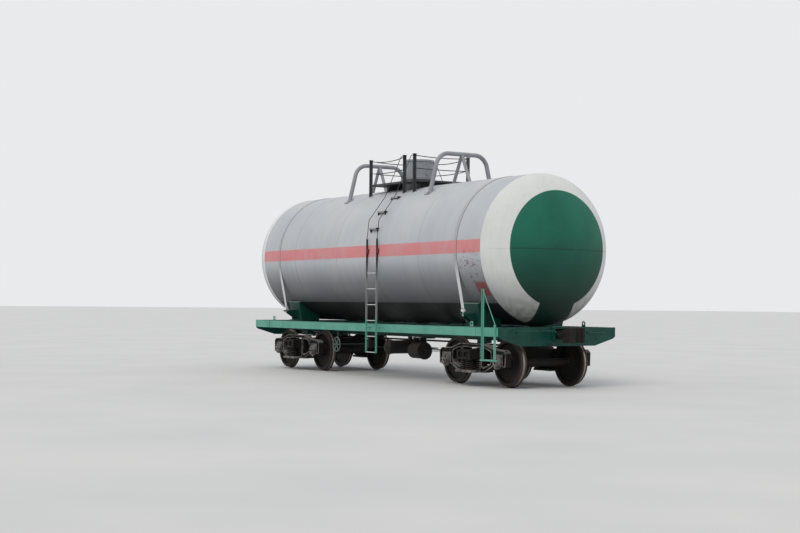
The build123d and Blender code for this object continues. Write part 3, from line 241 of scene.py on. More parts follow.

# %% [markdown]
# ## The tank's grey enamel
# The barrel is rolled steel plate, sprayed with alkyd enamel and left outdoors for years. Enamel
# that has chalked a little is matt to satin, so its roughness is near a half. Rain draws faint
# streaks down it, so the streak noise is 80 mm wide and stretched along the height. The belly
# below the saddles' tops is black with road dirt under a straight masked edge, and a faded red
# stripe runs level with the axis from ring to ring. Above the belly the grey darkens towards the
# bottom with painted shade and some road dirt. Dark lines of painted shadow, with some dirt, lie
# in the narrow gaps beside the straps. Near the ring at each end a repair shows as red primer,
# with a few scuffs above it. At the far end the ring's white runs on over the edge of the barrel.

# %% Grey enamel, its stripe, its dark belly and its primer patch
belly_top = 1.714
stripe_low = 2.730
stripe_high = 2.996
far_ring = -4.79
seam_places = (-3.08, -1.0, 0.66, 2.54)
line_half = 0.009
# A dark tone for painted shade, with some road dirt, low on the barrel.
low_shade_and_dirt_tone = "#2C2E31"
patch_x, patch_y = 4.63, 1.315
patch_half_length, patch_half_width = 0.19, 0.13
patch_low, patch_high = 1.86, 2.14
scuff_x, scuff_y, scuff_z = 4.43, 1.52, 2.40
strap_low, strap_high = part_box("strap_a")
strap_middle = (strap_low.x + strap_high.x) / 2
strap_half = (strap_high.x - strap_low.x) / 2


def grey_enamel():
    material, tree = new_finish("weathered grey enamel on rolled plate")
    streaks = blotches(tree, 80, 0.45, 0.75, stretch=(1, 0.12, 0.05), detail=5)
    clouds = blotches(tree, 1300, 0.35, 0.7, shift=3.1)
    fine = blotches(tree, 14, 0.3, 0.75, detail=3, shift=8.0)
    colour = coat(tree, "#BCBFC3", "#B1B5BB", clouds)
    colour = coat(tree, colour, "#9DA0A7", streaks, strength=0.22)
    worn = blotches(tree, 300, 0.35, 0.7, stretch=(1, 1, 0.6), detail=3, shift=5.0)
    stripe = band(tree, 2, stripe_low, stripe_high)
    faded = coat(tree, "#D37E80", "#CC8E91", worn)
    colour = coat(tree, colour, faded, stripe, strength=0.95)
    for x in seam_places:
        near_seam = band(tree, 0, x - line_half, x + line_half, soft_mm=12)
        colour = coat(tree, colour, "#8A8D93", near_seam, strength=0.5)
    # Dark lines at both edges of each strap: painted shadow in the gaps, with some dirt.
    for x in (-strap_middle, strap_middle):
        for edge in (-strap_half, strap_half):
            strap_gap_shadow_and_dirt = band(tree, 0, x + edge - line_half, x + edge + line_half)
            colour = coat(tree, colour, "#4E5156", strap_gap_shadow_and_dirt, strength=0.85)
    # The grey darkens towards the bottom above the belly: painted shade, with some road dirt.
    for low, high, soft_mm, strength in ((belly_top - 0.5, belly_top + 0.45, 1000, 0.82),
                                         (bottom, belly_top + 0.67, 480, 0.33)):
        low_shade_and_grime = band(tree, 2, low, high, soft_mm=soft_mm)
        colour = coat(tree, colour, low_shade_and_dirt_tone, low_shade_and_grime, strength=strength)
    belly = band(tree, 2, bottom, belly_top, soft_mm=14)
    soot = coat(tree, "#0C0E11", "#101215", clouds)
    colour = coat(tree, colour, soot, belly)
    for side in (-1, 1):
        x, y = side * patch_x, -side * patch_y
        along = band(tree, 0, x - patch_half_length, x + patch_half_length, soft_mm=50)
        across = band(tree, 1, y - patch_half_width, y + patch_half_width, soft_mm=40)
        height = band(tree, 2, patch_low, patch_high, soft_mm=50)
        torn = blotches(tree, 90, 0.28, 0.36, detail=5, shift=2.0 + side)
        colour = coat(tree, colour, "#7A3130", along, across, height, torn, strength=0.9)
        scuff_place = reach(tree, (side * scuff_x, -side * scuff_y, scuff_z), 0.12, 0.50)
        scuffs = blotches(tree, 75, 0.57, 0.61, stretch=(0.5, 1, 1), detail=3, shift=6.0 + side)
        colour = coat(tree, colour, "#57545A", scuff_place, scuffs, strength=0.85)
        rust = blotches(tree, 90, 0.61, 0.66, detail=3, shift=4.0 + side)
        colour = coat(tree, colour, "#8C5557", scuff_place, rust, strength=0.7)
    colour = coat(tree, colour, "#DDDEE0", band(tree, 0, -top, far_ring, soft_mm=6))
    gloss = between(tree, clouds, 0.42, 0.54)
    close_finish(tree, colour, gloss, height=fine, depth_mm=0.2)
    return material


finishes = {"tank_grey": grey_enamel()}
print("made", finishes["tank_grey"].name)

# %% [markdown]
# ## The painted ends
# Each dished end carries a warm white ring round a dark green disc, masked by hand and sprayed.
# The ring is wide: the disc's edge lies 1.19 m from the axis. A green strip drops from the disc
# to the bottom, where loading drips would spoil white paint. The head is pressed from two plates,
# so one weld runs level across it. Distances from the tank's axis are taken in the plane of the
# end. Painted shade darkens ring and disc towards the bottom, so the lower disc is nearly black,
# and grime and rust spot the lower ring.

# %% Ring, disc and strip
disc_radius = 1.19
disc_edge = 0.004
strip_half = 0.44
strip_top = tank_axis - 0.9
head_weld = tank_axis - 0.018


def head_enamel():
    material, tree = new_finish("green and white enamel on dished ends")
    clouds = blotches(tree, 900, 0.35, 0.7, shift=1.3)
    streaks = blotches(tree, 70, 0.45, 0.75, stretch=(1, 1, 0.06), detail=6)
    fine = blotches(tree, 14, 0.3, 0.75, detail=3, shift=8.0)
    white = coat(tree, "#D6D9D7", "#CCCFCD", clouds)
    white = coat(tree, white, "#B5B0AA", streaks, strength=0.15)
    rust_spots = blotches(tree, 40, 0.70, 0.74, detail=2, shift=4.0)
    low_down = band(tree, 2, bottom, tank_axis - 0.75, soft_mm=500)
    white = coat(tree, white, "#6E5A4C", rust_spots, low_down, strength=0.8)
    # Painted shade: the ring's white darkens towards the bottom.
    shade = band(tree, 2, bottom, tank_axis - 1.0, soft_mm=1100)
    white = coat(tree, white, "#4A4B48", shade, strength=0.72)
    grime = band(tree, 2, bottom, tank_axis - tank_radius + 0.42, soft_mm=560)
    dirt = blotches(tree, 160, 0.38, 0.6, detail=6, shift=7.0)
    white = coat(tree, white, "#55504A", grime, dirt, strength=0.55)
    green = coat(tree, "#0E6650", "#0B5745", clouds)
    green = coat(tree, green, "#2A6657", streaks, strength=0.1)
    # Painted shade: the green of disc and strip darkens towards the bottom.
    shaded = band(tree, 2, bottom, tank_axis - 0.35, soft_mm=1500)
    green = coat(tree, green, "#011D17", shaded, strength=0.95)
    disc = reach(tree, (0, 0, tank_axis), disc_radius - disc_edge, disc_radius + disc_edge,
                 flat_axis=0)
    colour = coat(tree, white, green, disc)
    strip = band(tree, 1, -strip_half, strip_half)
    below = band(tree, 2, bottom, strip_top)
    colour = coat(tree, colour, green, strip, below)
    weld = band(tree, 2, head_weld - line_half, head_weld + line_half)
    colour = coat(tree, colour, "#12352E", weld, disc, strength=0.7)
    close_finish(tree, colour, between(tree, clouds, 0.5, 0.6), height=fine, depth_mm=0.2)
    return material


finishes["head_green"] = head_enamel()
print("disc radius", disc_radius, "of", round(tank_radius, 3))

# %% [markdown]
# ## Enamel on the frame, the sills and the roof
# All these parts are rolled or pressed steel with brushed enamel. They differ in colour and in
# how dirty they get, so one function makes them from a pair of tones, the dust that settles on
# them and how strong it is. Dust lies on faces that look up, and rust starts at chips 25 mm
# across. A list of bands by height or place can be laid on top: some are wear, since boots and
# hands polish some heights more than others; others are paint, dark lines and one painted
# highlight.

# %% A family of brushed enamels
def brushed_enamel(name, tone, dark_tone, dust, dust_strength, chips,
                   roughness=(0.4, 0.55), worn=()):
    material, tree = new_finish(name)
    clouds = blotches(tree, 350, 0.35, 0.7, shift=2.2)
    streaks = blotches(tree, 40, 0.45, 0.75, stretch=(1, 1, 0.1), detail=6)
    fine = blotches(tree, 9, 0.3, 0.75, detail=3, shift=8.0)
    colour = coat(tree, tone, dark_tone, clouds)
    for axis, low, high, soft_mm, worn_tone, strength in worn:
        rubbed = band(tree, axis, low, high, soft_mm=soft_mm)
        colour = coat(tree, colour, worn_tone, rubbed, strength=strength)
    colour = coat(tree, colour, dust, streaks, strength=dust_strength * 0.08)
    colour = coat(tree, colour, dust, facing_up(tree, 0.3, 0.95), strength=dust_strength)
    chipped = blotches(tree, 25, 0.69, 0.73, detail=5, shift=6.0)
    colour = coat(tree, colour, "#5B4033", chipped, strength=chips)
    close_finish(tree, colour, between(tree, clouds, *roughness), height=fine, depth_mm=0.3)
    return material


sill_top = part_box("side_sill_right")[1].z
saddle_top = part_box("saddle_a")[1].z
doubler_length = 0.77
doubler_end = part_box("side_sill_right")[1].x - doubler_length
rung_bands = ((0.49, 0.85), (-0.63, -0.27))
teal = ("#5CA390", "#539583")
finishes["sill_teal"] = brushed_enamel(
    "light teal enamel on rolled channel", *teal, "#9DB3A8", 0.3, chips=0.35,
    worn=[(2, sill_top - 0.012, sill_top + 0.01, 6, "#2E6455", 0.8),
          *[(0, x - 0.008, x + 0.008, 6, "#1F4A40", 0.85) for x in (doubler_end, -doubler_end)]])
# The pale band at the saddles' top edge in frame_green is a painted highlight.
finishes["frame_green"] = brushed_enamel(
    "green enamel on welded plate", "#09453A", "#06362D", "#5F8A7C", 0.4, chips=0.35,
    worn=[(2, saddle_top - 0.016, saddle_top + 0.01, 6, "#9DB5A9", 0.7)])
finishes["roof_steel"] = brushed_enamel(
    "grey enamel on roof steelwork", "#93969A", "#84888C", "#A2A4A5", 0.3, chips=0.25)
finishes["ladder_grey"] = brushed_enamel(
    "worn grey green enamel on ladders", "#2B3231", "#232928", "#9A9D99", 0.75, chips=0.3,
    worn=[(2, 0, stripe_low - 0.35, 500, "#969E9C", 0.9),
          (2, 0, sill_top + 0.1, 60, "#56A08C", 0.9),
          *[(0, low, high, 6, "#D3D7D6", 0.95) for low, high in rung_bands],
          (2, stripe_high, top, 6, "#2B3231", 1.0)])
finishes["brake_black"] = brushed_enamel(
    "black enamel on brake gear", "#1D1D1F", "#262422", "#4D463F", 0.45, chips=0.3,
    roughness=(0.5, 0.7))
print("enamels:", len(finishes))

# %% [markdown]
# ## Cast and forged steel under the frame
# Bogie castings are never painted for long. Iron dust from the brake blocks bakes onto them with
# oil and turns brown black, with paler road dust on every ledge. The sand mould leaves a grain of
# a millimetre or two, drawn here at 6 mm so that it shows. The raised rims of the side frames rub
# against hands, sleepers and slings, so their outer 4 mm is paler than the sunk web.

# %% Cast steel under brake dust
def dusty_casting(name, tone, dust, dust_strength, rim_from=None, rim_tone=None):
    material, tree = new_finish(name)
    clouds = blotches(tree, 160, 0.35, 0.7, shift=1.0)
    grain = blotches(tree, 6, 0.3, 0.7, detail=4, shift=3.0)
    colour = coat(tree, tone, "#211E1C", clouds)
    if rim_from is not None:
        for side in (-1, 1):
            low, high = sorted((side * rim_from, side * (rim_from + 1)))
            rim = band(tree, 1, low, high, soft_mm=3)
            rubbed = blotches(tree, 120, 0.30, 0.55, detail=4, shift=5.0 + side)
            colour = coat(tree, colour, rim_tone, rim, rubbed, strength=0.75)
    colour = coat(tree, colour, dust, facing_up(tree, 0.1, 0.9), strength=dust_strength)
    oil = blotches(tree, 90, 0.60, 0.68, detail=5, shift=9.0)
    colour = coat(tree, colour, "#0E0D0D", oil, strength=0.6)
    close_finish(tree, colour, between(tree, oil, 0.78, 0.35), height=grain, depth_mm=0.8)
    return material


nest_row = 0.175
column_radius = 0.096
frame_half = 0.070
rim_depth = 0.004
journal_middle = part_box("springs_a")[1].y - nest_row - column_radius
frame_face = journal_middle + frame_half
finishes["running_gear"] = dusty_casting("cast steel under brake dust", "#171615", "#554D46", 0.5)
rim_finish = dusty_casting("cast side frames with rubbed rims", "#171616", "#8B8683", 0.75,
                           rim_from=frame_face - rim_depth, rim_tone="#8C8885")
print("made", finishes["running_gear"].name, "and", rim_finish.name)

# %% [markdown]
# ## Rolled wheels with polished treads
# The rail keeps one band of each wheel bright: the tread and the flange root. Everything else on
# it is dark, and its base tone is made darker still as painted shade. All wheels share one
# material, so the distance from the nearest axle is found by folding the length of the car twice:
# once about its middle and once about the middle of a bogie.

# %% Wheel steel with its bright tread
rubbed_inner, rubbed_outer = 0.762, 0.798
tread_start, tread_full = tread_radius - 0.012, tread_radius - 0.004
rim_start, rim_full = tread_radius - 0.075, tread_radius - 0.065


def wheel_steel():
    material, tree = new_finish("rolled wheel steel with polished tread")
    folded = place_along(tree, 0)
    for fold in (bogie_centre, half_wheelbase):
        folded = reckon(tree, "SUBTRACT", reckon(tree, "ABSOLUTE", folded), fold)
    rise = reckon(tree, "SUBTRACT", place_along(tree, 2), axle_height)
    flat = add_node(tree, "ShaderNodeCombineXYZ", feeds={0: folded, 1: rise})
    radius = length_of(tree, flat.outputs[0])
    tread = ramp(tree, radius, tread_start, tread_full)
    rim = ramp(tree, radius, rim_start, rim_full)
    clouds = blotches(tree, 130, 0.35, 0.7)
    grain = blotches(tree, 7, 0.3, 0.7, detail=4)
    # The near-black base tones are made darker still as painted shade.
    colour = coat(tree, "#151312", "#1D1917", clouds)
    colour = coat(tree, colour, "#2C2622", rim, strength=0.6)
    colour = coat(tree, colour, "#3D352F", tread)
    one_side = band(tree, 1, rubbed_inner, rubbed_outer, soft_mm=14)
    other_side = band(tree, 1, -rubbed_outer, -rubbed_inner, soft_mm=14)
    bright = reckon(tree, "MULTIPLY", reckon(tree, "MAXIMUM", one_side, other_side), tread)
    colour = coat(tree, colour, "#A39D95", bright, strength=0.85)
    close_finish(tree, colour, between(tree, bright, 0.7, 0.34),
                 metallic=bright, height=grain, depth_mm=0.3)
    return material


finishes["wheel_steel"] = wheel_steel()
print("made", finishes["wheel_steel"].name)

# %% [markdown]
# ## Bronze valves
# Gas valves are cast bronze with a machined flange. Outdoors bronze dulls to brown with a little
# green, and under the hood it stays cleaner than anything else on the car. The manhole's neck and
# cover below the valves are steel under grey enamel.

# %% Dull bronze on an enamelled cover
cover_top = 4.607


def dull_bronze():
    material, tree = new_finish("dull cast bronze on an enamelled steel cover")
    clouds = blotches(tree, 60, 0.35, 0.7)
    colour = coat(tree, "#8C6F44", "#6A5A41", clouds)
    colour = coat(tree, colour, "#5F7A66", blotches(tree, 30, 0.6, 0.7, shift=4.0), strength=0.5)
    cover = band(tree, 2, bottom, cover_top + 0.001, soft_mm=1)
    colour = coat(tree, colour, "#7E8286", cover)
    close_finish(tree, colour, between(tree, clouds, 0.35, 0.55),
                 metallic=between(tree, cover, 0.8, 0.0),
                 height=blotches(tree, 5, 0.3, 0.7), depth_mm=0.3)
    return material


finishes["valve_bronze"] = dull_bronze()
print("finishes in all:", len(finishes))

# %% [markdown]
# ## Finishes of single parts
# Some nodes differ from their slot. The straps were painted with the tank, stripe and all, and
# their lower halves are made paler as painted light. The steps on the shell have near-black
# brackets, whose darkness is painted shade, under pale grey treads. The ladder's clamps got the
# red that was left from the stripe. The hand wheel is worn to a greyer green than the sill, and
# the platform and its rails are darker than the arcs. The hood is made paler than the rest of the
# roof as painted light, and the corner steps have the sill's teal with more dust.

# %% Finishes of straps, steps, clamps, hand wheel, rails and hood
# The straps' pale base tone is painted light on their lower halves; above pale_below they take the
# barrel's grey.
pale_below = 2.40
strap_finish = brushed_enamel(
    "grey enamel on strap steel", "#D6D7D7", "#CBCCCD", "#CFCFCC", 0.2, chips=0.15,
    worn=[(2, pale_below, top, 400, "#A3A6AA", 0.95),
          (2, stripe_low, stripe_high, 8, "#CE8786", 0.95)])
# The steps' near-black tone is painted shade on the brackets; a band across the middle of each
# step makes the treads pale grey.
step_tread_bands = [(0, low.x + 0.016, high.x - 0.016, 4, "#9B9D9F", 0.95)
             for low, high in (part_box("shell_steps_left"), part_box("shell_steps_right"))]
step_finish = brushed_enamel(
    "near-black brackets in painted shade with pale treads", "#17181A", "#222426", "#B9BAB8", 0.6, chips=0.2,
    worn=step_tread_bands)
clamp_finish = brushed_enamel(
    "dark red clamps", "#7C2A30", "#66242A", "#8E6A66", 0.3, chips=0.2)
handwheel_finish = brushed_enamel(
    "worn green hand wheel", "#52605C", "#48534F", "#8E9A95", 0.4, chips=0.4,
    worn=[(1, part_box("handwheel")[0].y + 0.075, 0, 6, "#1B1B1C", 0.95)])
rail_finish = brushed_enamel(
    "dark grey enamel on rails and deck", "#45484B", "#3A3D40", "#6F7274", 0.3, chips=0.25)
corner_finish = brushed_enamel(
    "light teal enamel on corner steps", *teal, "#B4C4BC", 0.5, chips=0.35)
# The hood's grey, paler than the roof's, is painted light.
hood_finish = brushed_enamel(
    "pale grey enamel with painted light on the hood", "#A2A6AA", "#93979C", "#B0B1B1", 0.3, chips=0.2)
print("materials in all:", len(bpy.data.materials))

# %% [markdown]
# ## Every CAD node takes the finish of its slot
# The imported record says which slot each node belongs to, so only the exceptions are named. Side
# frames and axle boxes get the rubbed rims, and the couplers are bare castings like the bogies.

# %% Assign finishes
exceptions = {"side_frames_a": rim_finish, "side_frames_b": rim_finish,
              "axle_boxes_a": rim_finish, "axle_boxes_b": rim_finish,
              "strap_a": strap_finish, "strap_b": strap_finish, "handwheel": handwheel_finish,
              "roof_rails": rail_finish, "roof_deck": rail_finish, "hood": hood_finish,
              "corner_step_a": corner_finish, "corner_step_b": corner_finish,
              "coupler_a": finishes["running_gear"], "coupler_b": finishes["running_gear"],
              "shell_steps_left": step_finish, "shell_steps_right": step_finish}
for subpart in frame["record"]["subparts"]:
    mesh = nodes[subpart["node"]].data
    mesh.materials.clear()
    mesh.materials.append(exceptions.get(subpart["node"], finishes[subpart["material_slot"]]))

# %% [markdown]
# ## Tools for small parts
# Most workshop details are one of three shapes: a profile spun round an axis, such as a bolt, a
# washer or a weld bead; a round bar along a path, such as a rod or a spring; or a plate. The
# first two functions cover the first two shapes in plain mesh code, so each piece stays light.
# The third turns a mesh into a named object that has a finish and rides on a body.

# %% Spun profiles, bars and pieces
def spin(mesh, profile, centre, axis, steps=24, closed=False):
    """Spin (radius, along) points round a line through centre along axis."""
    along = Vector(axis).normalized()
    side = along.orthogonal().normalized()
    other = along.cross(side)
    rings = []
    for radius, height in profile:
        ring = []
        for step in range(steps):
            turn = 2 * pi * step / steps
            out = side * cos(turn) + other * sin(turn)
            ring.append(mesh.verts.new(Vector(centre) + along * height + out * radius))
        rings.append(ring)
    pairs = list(zip(rings, rings[1:]))
    if closed:
        pairs.append((rings[-1], rings[0]))
    for low, high in pairs:
        for step in range(steps):
            after = (step + 1) % steps
            mesh.faces.new((low[step], low[after], high[after], high[step]))


def bar(mesh, points, radius, sides=8):
    """A round bar along points, capped at its ends."""
    points = [Vector(p) for p in points]
    side = (points[1] - points[0]).orthogonal().normalized()
    rings = []
    for i, point in enumerate(points):
        before = points[max(i - 1, 0)]
        after = points[min(i + 1, len(points) - 1)]
        along = (after - before).normalized()
        side = (side - along * side.dot(along)).normalized()
        other = along.cross(side)
        turns = [2 * pi * k / sides for k in range(sides)]
        rings.append([mesh.verts.new(point + (side * cos(t) + other * sin(t)) * radius)
                      for t in turns])
    for low, high in zip(rings, rings[1:]):
        for k in range(sides):
            after = (k + 1) % sides
            mesh.faces.new((low[k], low[after], high[after], high[k]))
    mesh.faces.new(rings[0][::-1])
    mesh.faces.new(rings[-1])


def piece(name, mesh, slot, body, smooth_angle=35, finish=None):
    """Close a mesh and make it a named object of a slot that rides on a body."""
    bmesh.ops.remove_doubles(mesh, verts=mesh.verts, dist=1e-5)
    bmesh.ops.recalc_face_normals(mesh, faces=mesh.faces)
    data = bpy.data.meshes.new(name)
    mesh.to_mesh(data)
    mesh.free()
    made = bpy.data.objects.new(name, data)
    bpy.context.scene.collection.objects.link(made)
    data.materials.append(finish or finishes[slot])
    data.shade_smooth()
    data.set_sharp_from_angle(angle=radians(smooth_angle))
    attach(made, body)
    print(f"{name}: {len(data.polygons)} faces on {body}")
    return made


bolt_profile = ((1.0, 0.0), (1.0, 0.55), (0.86, 0.7), (0.0, 0.7))


def bolt(mesh, centre, axis, across_mm):
    """A hexagon head whose size is given across its corners."""
    half = across_mm / 2000
    spin(mesh, [(r * half, h * half) for r, h in bolt_profile], centre, axis, steps=6)


# %% [markdown]
# ## Rings of bolts, plates, bent bars, rings of wire and chains
# A flange is closed by a ring of bolts at equal angles, counted from the next axis in the order
# x, y, z. A plate is a block with its edges broken by 1 mm. A pipe bender rounds the corners of a
# path to one radius, and a chain hangs in links that turn a quarter each time.

# %% More tools
def bolt_ring(mesh, centre, axis, radius, count, across_mm, first=0.0):
    """Bolts at equal angles round a centre, the first one turned by first degrees."""
    along = Vector(axis)
    side = Vector((along.z, along.x, along.y))
    other = along.cross(side)
    for step in range(count):
        turn = radians(first) + 2 * pi * step / count
        out = side * cos(turn) + other * sin(turn)
        bolt(mesh, Vector(centre) + out * radius, axis, across_mm)


def plate(mesh, low, high, edge=0.001):
    """A block between two corners with its edges broken."""
    low, high = Vector(low), Vector(high)
    size = Matrix.Diagonal((*(high - low), 1))
    made = bmesh.ops.create_cube(mesh, size=1, matrix=Matrix.Translation((low + high) / 2) @ size)
    edges = {e for vert in made["verts"] for e in vert.link_edges}
    bmesh.ops.bevel(mesh, geom=list(edges), offset=edge, segments=1, affect="EDGES")


def bend(points, radius):
    """A path whose inner corners are rounded."""
    points = [Vector(p) for p in points]
    path = [points[0]]
    for before, corner, after in zip(points, points[1:], points[2:]):
        start = corner + (before - corner).normalized() * radius
        end = corner + (after - corner).normalized() * radius
        path += [start * (1 - t) ** 2 + corner * 2 * t * (1 - t) + end * t ** 2
                 for t in (0, 0.17, 0.33, 0.5, 0.67, 0.83, 1)]
    return path + [points[-1]]


def flat_disc(radius, height):
    """The profile of a washer or a round pad."""
    return ((0, 0), (radius, 0), (radius, height), (0, height))


def round_wire(ring_radius, wire):
    """The profile of a ring of round wire."""
    return [(ring_radius + wire * cos(pi * k / 4), wire * sin(pi * k / 4)) for k in range(8)]


link_profile = round_wire(0.011, 0.003)


def chain(mesh, start, end, links, sag):
    for i in range(links):
        share = (i + 0.5) / links
        drop = Vector((0, 0, 4 * sag * share * (1 - share)))
        centre = Vector(start).lerp(Vector(end), share) - drop
        axis = (0, 1, 0) if i % 2 else (0, 0.2, 1)
        spin(mesh, link_profile, centre, axis, steps=12, closed=True)


print("tools ready: bolt_ring, plate, bend, flat_disc, round_wire, chain")

# %% [markdown]
# ## Weld beads round the barrel
# The barrel is made of courses of plate, joined by ring welds that were ground only lightly, so
# each stands about 3 mm proud and 22 mm wide. A bead is one small arc spun round the tank's axis.
# Each head is pressed from two plates, so one more bead runs level across it. Its points are
# found by looking at the head from in front, step by step across it at the weld's height, and
# taking the spots that are hit.

# %% Ring welds and the head seams
def weld_bead(mesh, x, width=0.022, height=0.003):
    arc = [(tank_radius + height * sin(pi * i / 6), width * (i / 6 - 0.5)) for i in range(7)]
    spin(mesh, arc, (x, 0, tank_axis), (1, 0, 0), steps=160)


beads = bmesh.new()
for x in seam_places:
    weld_bead(beads, x)
piece("barrel_welds", beads, "tank_grey", "car", smooth_angle=60)
head_seam = barrel_end + 0.003
look_from = 7
look_y = [-1.5 + i * 0.05 for i in range(61)]
bar_sunk = 0.003
head_beads = bmesh.new()
for x in (-head_seam, head_seam):
    weld_bead(head_beads, x, width=0.018)
for node, side in ((nodes["tank_head_a"], 1), (nodes["tank_head_b"], -1)):
    inward = Vector((-side, 0, 0))
    line = []
    for y in look_y:
        hit_point = node.ray_cast(Vector((side * look_from, y, head_weld)), inward)[1]
        line.append(hit_point + inward * bar_sunk)
    bar(head_beads, line, 0.008, sides=6)
piece("head_welds", head_beads, "head_green", "car", smooth_angle=60)

# %% [markdown]
# ## Coil springs
# Seven coils of 26 mm bar stand in each nest. The CAD model has plain columns in their place. A
# real coil is a helix with flattened ends, so the path below rises only between its first and
# last turns.

# %% Spring nests as true coils
spring_low, spring_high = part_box("springs_a")
coil_radius = 0.083
wire_radius = 0.013
coil_turns = 5.5
steps_a_turn = 18
flat_share, rising_share = 0.09, 0.82
nest_places = [(-0.1, -nest_row), (0.1, -nest_row), (-0.2, 0), (0, 0), (0.2, 0),
               (-0.1, nest_row), (0.1, nest_row)]
bogies = (("a", bogie_centre), ("b", -bogie_centre))


def coil(mesh, centre, low, high):
    points = []
    count = int(coil_turns * steps_a_turn)
    for i in range(count + 1):
        share = i / count
        rise = min(max((share - flat_share) / rising_share, 0), 1)
        turn = 2 * pi * coil_turns * share
        x = centre[0] + coil_radius * cos(turn)
        y = centre[1] + coil_radius * sin(turn)
        points.append((x, y, low + wire_radius + rise * (high - low - 2 * wire_radius)))
    bar(mesh, points, wire_radius)


for end, centre in bogies:
    coils = bmesh.new()
    for side in (-1, 1):
        for dx, dy in nest_places:
            foot = (centre + dx, side * journal_middle + dy)
            coil(coils, foot, spring_low.z, spring_high.z)
    made = piece(f"spring_coils_{end}", coils, "running_gear", f"bogie_{end}", smooth_angle=80)
    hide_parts(f"springs_{end}")

# %% [markdown]
# ## Bolts on the axle boxes
# A cast cover closes each roller bearing, held by six bolts and sealed with grease. A fitter
# undoes them at every overhaul, so they are large and easy to reach from beside the track.

# %% Axle-box cover bolts
cover_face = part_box("axle_boxes_a")[1].y
for end, centre in bogies:
    bolts = bmesh.new()
    for x in (centre - half_wheelbase, centre + half_wheelbase):
        for side in (-1, 1):
            middle = (x, side * cover_face, axle_height)
            bolt_ring(bolts, middle, (0, side, 0), 0.085, 6, 28, first=30)
            bolt(bolts, middle, (0, side, 0), 40)
    piece(f"axle_box_bolts_{end}", bolts, "running_gear", f"bogie_{end}")

# %% [markdown]
# ## Strap nuts, sill rivets and ladder clamps
# Each strap ends in a threaded block under a nut, so the band can be drawn tight as the tank beds
# down. Round rivet heads show where the cross members meet the side sills. Red clamps tie the
# ladder's stiles to the shell at the height of the stripe.

# %% Nuts, rivets and clamps
strap_foot_y = 1.345
washer_z, nut_z = 1.583, 1.586
strap_nuts = bmesh.new()
for x in (-strap_middle, strap_middle):
    for side in (-1, 1):
        y = side * strap_foot_y
        spin(strap_nuts, flat_disc(0.026, nut_z - washer_z), (x, y, washer_z), (0, 0, 1))
        bolt(strap_nuts, (x, y, nut_z), (0, 0, 1), 40)
piece("strap_nuts", strap_nuts, "frame_green", "car")

sill_face = 1.490
member_places = (-2.25, -0.75, 0.75, 2.25)
rivet_rows = (1.095, 1.142, 1.190)
dome = [(0.012 * cos(t * pi / 8), 0.007 * sin(t * pi / 8)) for t in range(5)]
rivets = bmesh.new()
for x in member_places:
    for z in rivet_rows:
        for side in (-1, 1):
            spin(rivets, dome, (x, side * sill_face, z), (0, side, 0), steps=12)
piece("sill_rivets", rivets, "sill_teal", "car", smooth_angle=60)

stile_places = (0.4575, 0.8925)
clamp_width = 0.05
clamp_face, clamp_back = 1.600, 1.556
clamp_low, clamp_middle, clamp_high = 2.81, 2.86, 2.91
clamps = bmesh.new()
for x in stile_places:
    for side in (1, -1):
        xs = sorted((side * x, side * (x + clamp_width)))
        ys = sorted((-side * clamp_face, -side * clamp_back))
        plate(clamps, (xs[0], ys[0], clamp_low), (xs[1], ys[1], clamp_high))
        bolt_foot = (side * (x + clamp_width / 2), -side * clamp_face, clamp_middle)
        bolt(clamps, bolt_foot, (0, -side, 0), 20)
piece("ladder_clamps", clamps, "ladder_grey", "car", finish=clamp_finish)

# %% [markdown]
# ## Lever and grab iron at each end
# A shunter stands beside the car and turns a long bar to part the couplers. The bar is bent from
# 22 mm round steel, runs in two brackets on the end sill and pulls a short chain. On the other
# side of the coupler is a grab iron. The two ends are alike after half a turn.

# %% Uncoupling gear and grab irons
end_face = 5.40
striker_face = 5.46
lever_path = [(5.475, -1.18, 0.98), (5.475, -1.18, 1.16),
              (5.475, -0.16, 1.16), (5.56, -0.16, 1.13)]
chain_ends = [(5.56, -0.16, 1.12), (5.72, -0.15, 1.15)]
bracket_places = (-1.10, -0.42)
bracket_thick = 0.008
bracket_out, bracket_low, bracket_high = 5.492, 1.135, 1.185
striker_bolts = [(y, z) for y in (-0.136, 0.136) for z in (1.015, 1.195)]
grab_out = 5.46
grab_low, grab_high, grab_z = 0.75, 1.15, 1.13
grab_path = [(end_face, grab_low, grab_z), (grab_out, grab_low, grab_z),
             (grab_out, grab_high, grab_z), (end_face, grab_high, grab_z)]


def at_end(points, side):
    """Points of end a (side 1) or, after half a turn, of end b (side -1)."""
    return [(side * x, side * y, z) for x, y, z in points]


for end, side in (("a", 1), ("b", -1)):
    lever = bmesh.new()
    bar(lever, bend(at_end(lever_path, side), 0.03), 0.011)
    chain(lever, *at_end(chain_ends, side), 10, 0.04)
    piece(f"uncoupling_lever_{end}", lever, "frame_green", "car", smooth_angle=50)

    fittings = bmesh.new()
    for y in bracket_places:
        xs = sorted((side * end_face, side * bracket_out))
        ys = sorted((side * y, side * (y + bracket_thick)))
        plate(fittings, (xs[0], ys[0], bracket_low), (xs[1], ys[1], bracket_high))
    bar(fittings, bend(at_end(grab_path, side), 0.02), 0.010)
    for y in (grab_low, grab_high):
        spin(fittings, flat_disc(0.026, 0.006), (side * end_face, side * y, grab_z), (side, 0, 0))
    for y, z in striker_bolts:
        bolt(fittings, (side * striker_face, y, z), (side, 0, 0), 28)
    piece(f"end_fittings_{end}", fittings, "frame_green", "car", smooth_angle=50)

# %% [markdown]
# ## Bolts of the hood, the manhole and the lid
# The hood and its base meet in two flanges with bolts between the ribs. Heads are on top and nuts
# below. The lid carries its own ring, a low handle and a hasp for a seal. The manhole cover
# inside has to hold gas pressure, so its twenty bolts are large.

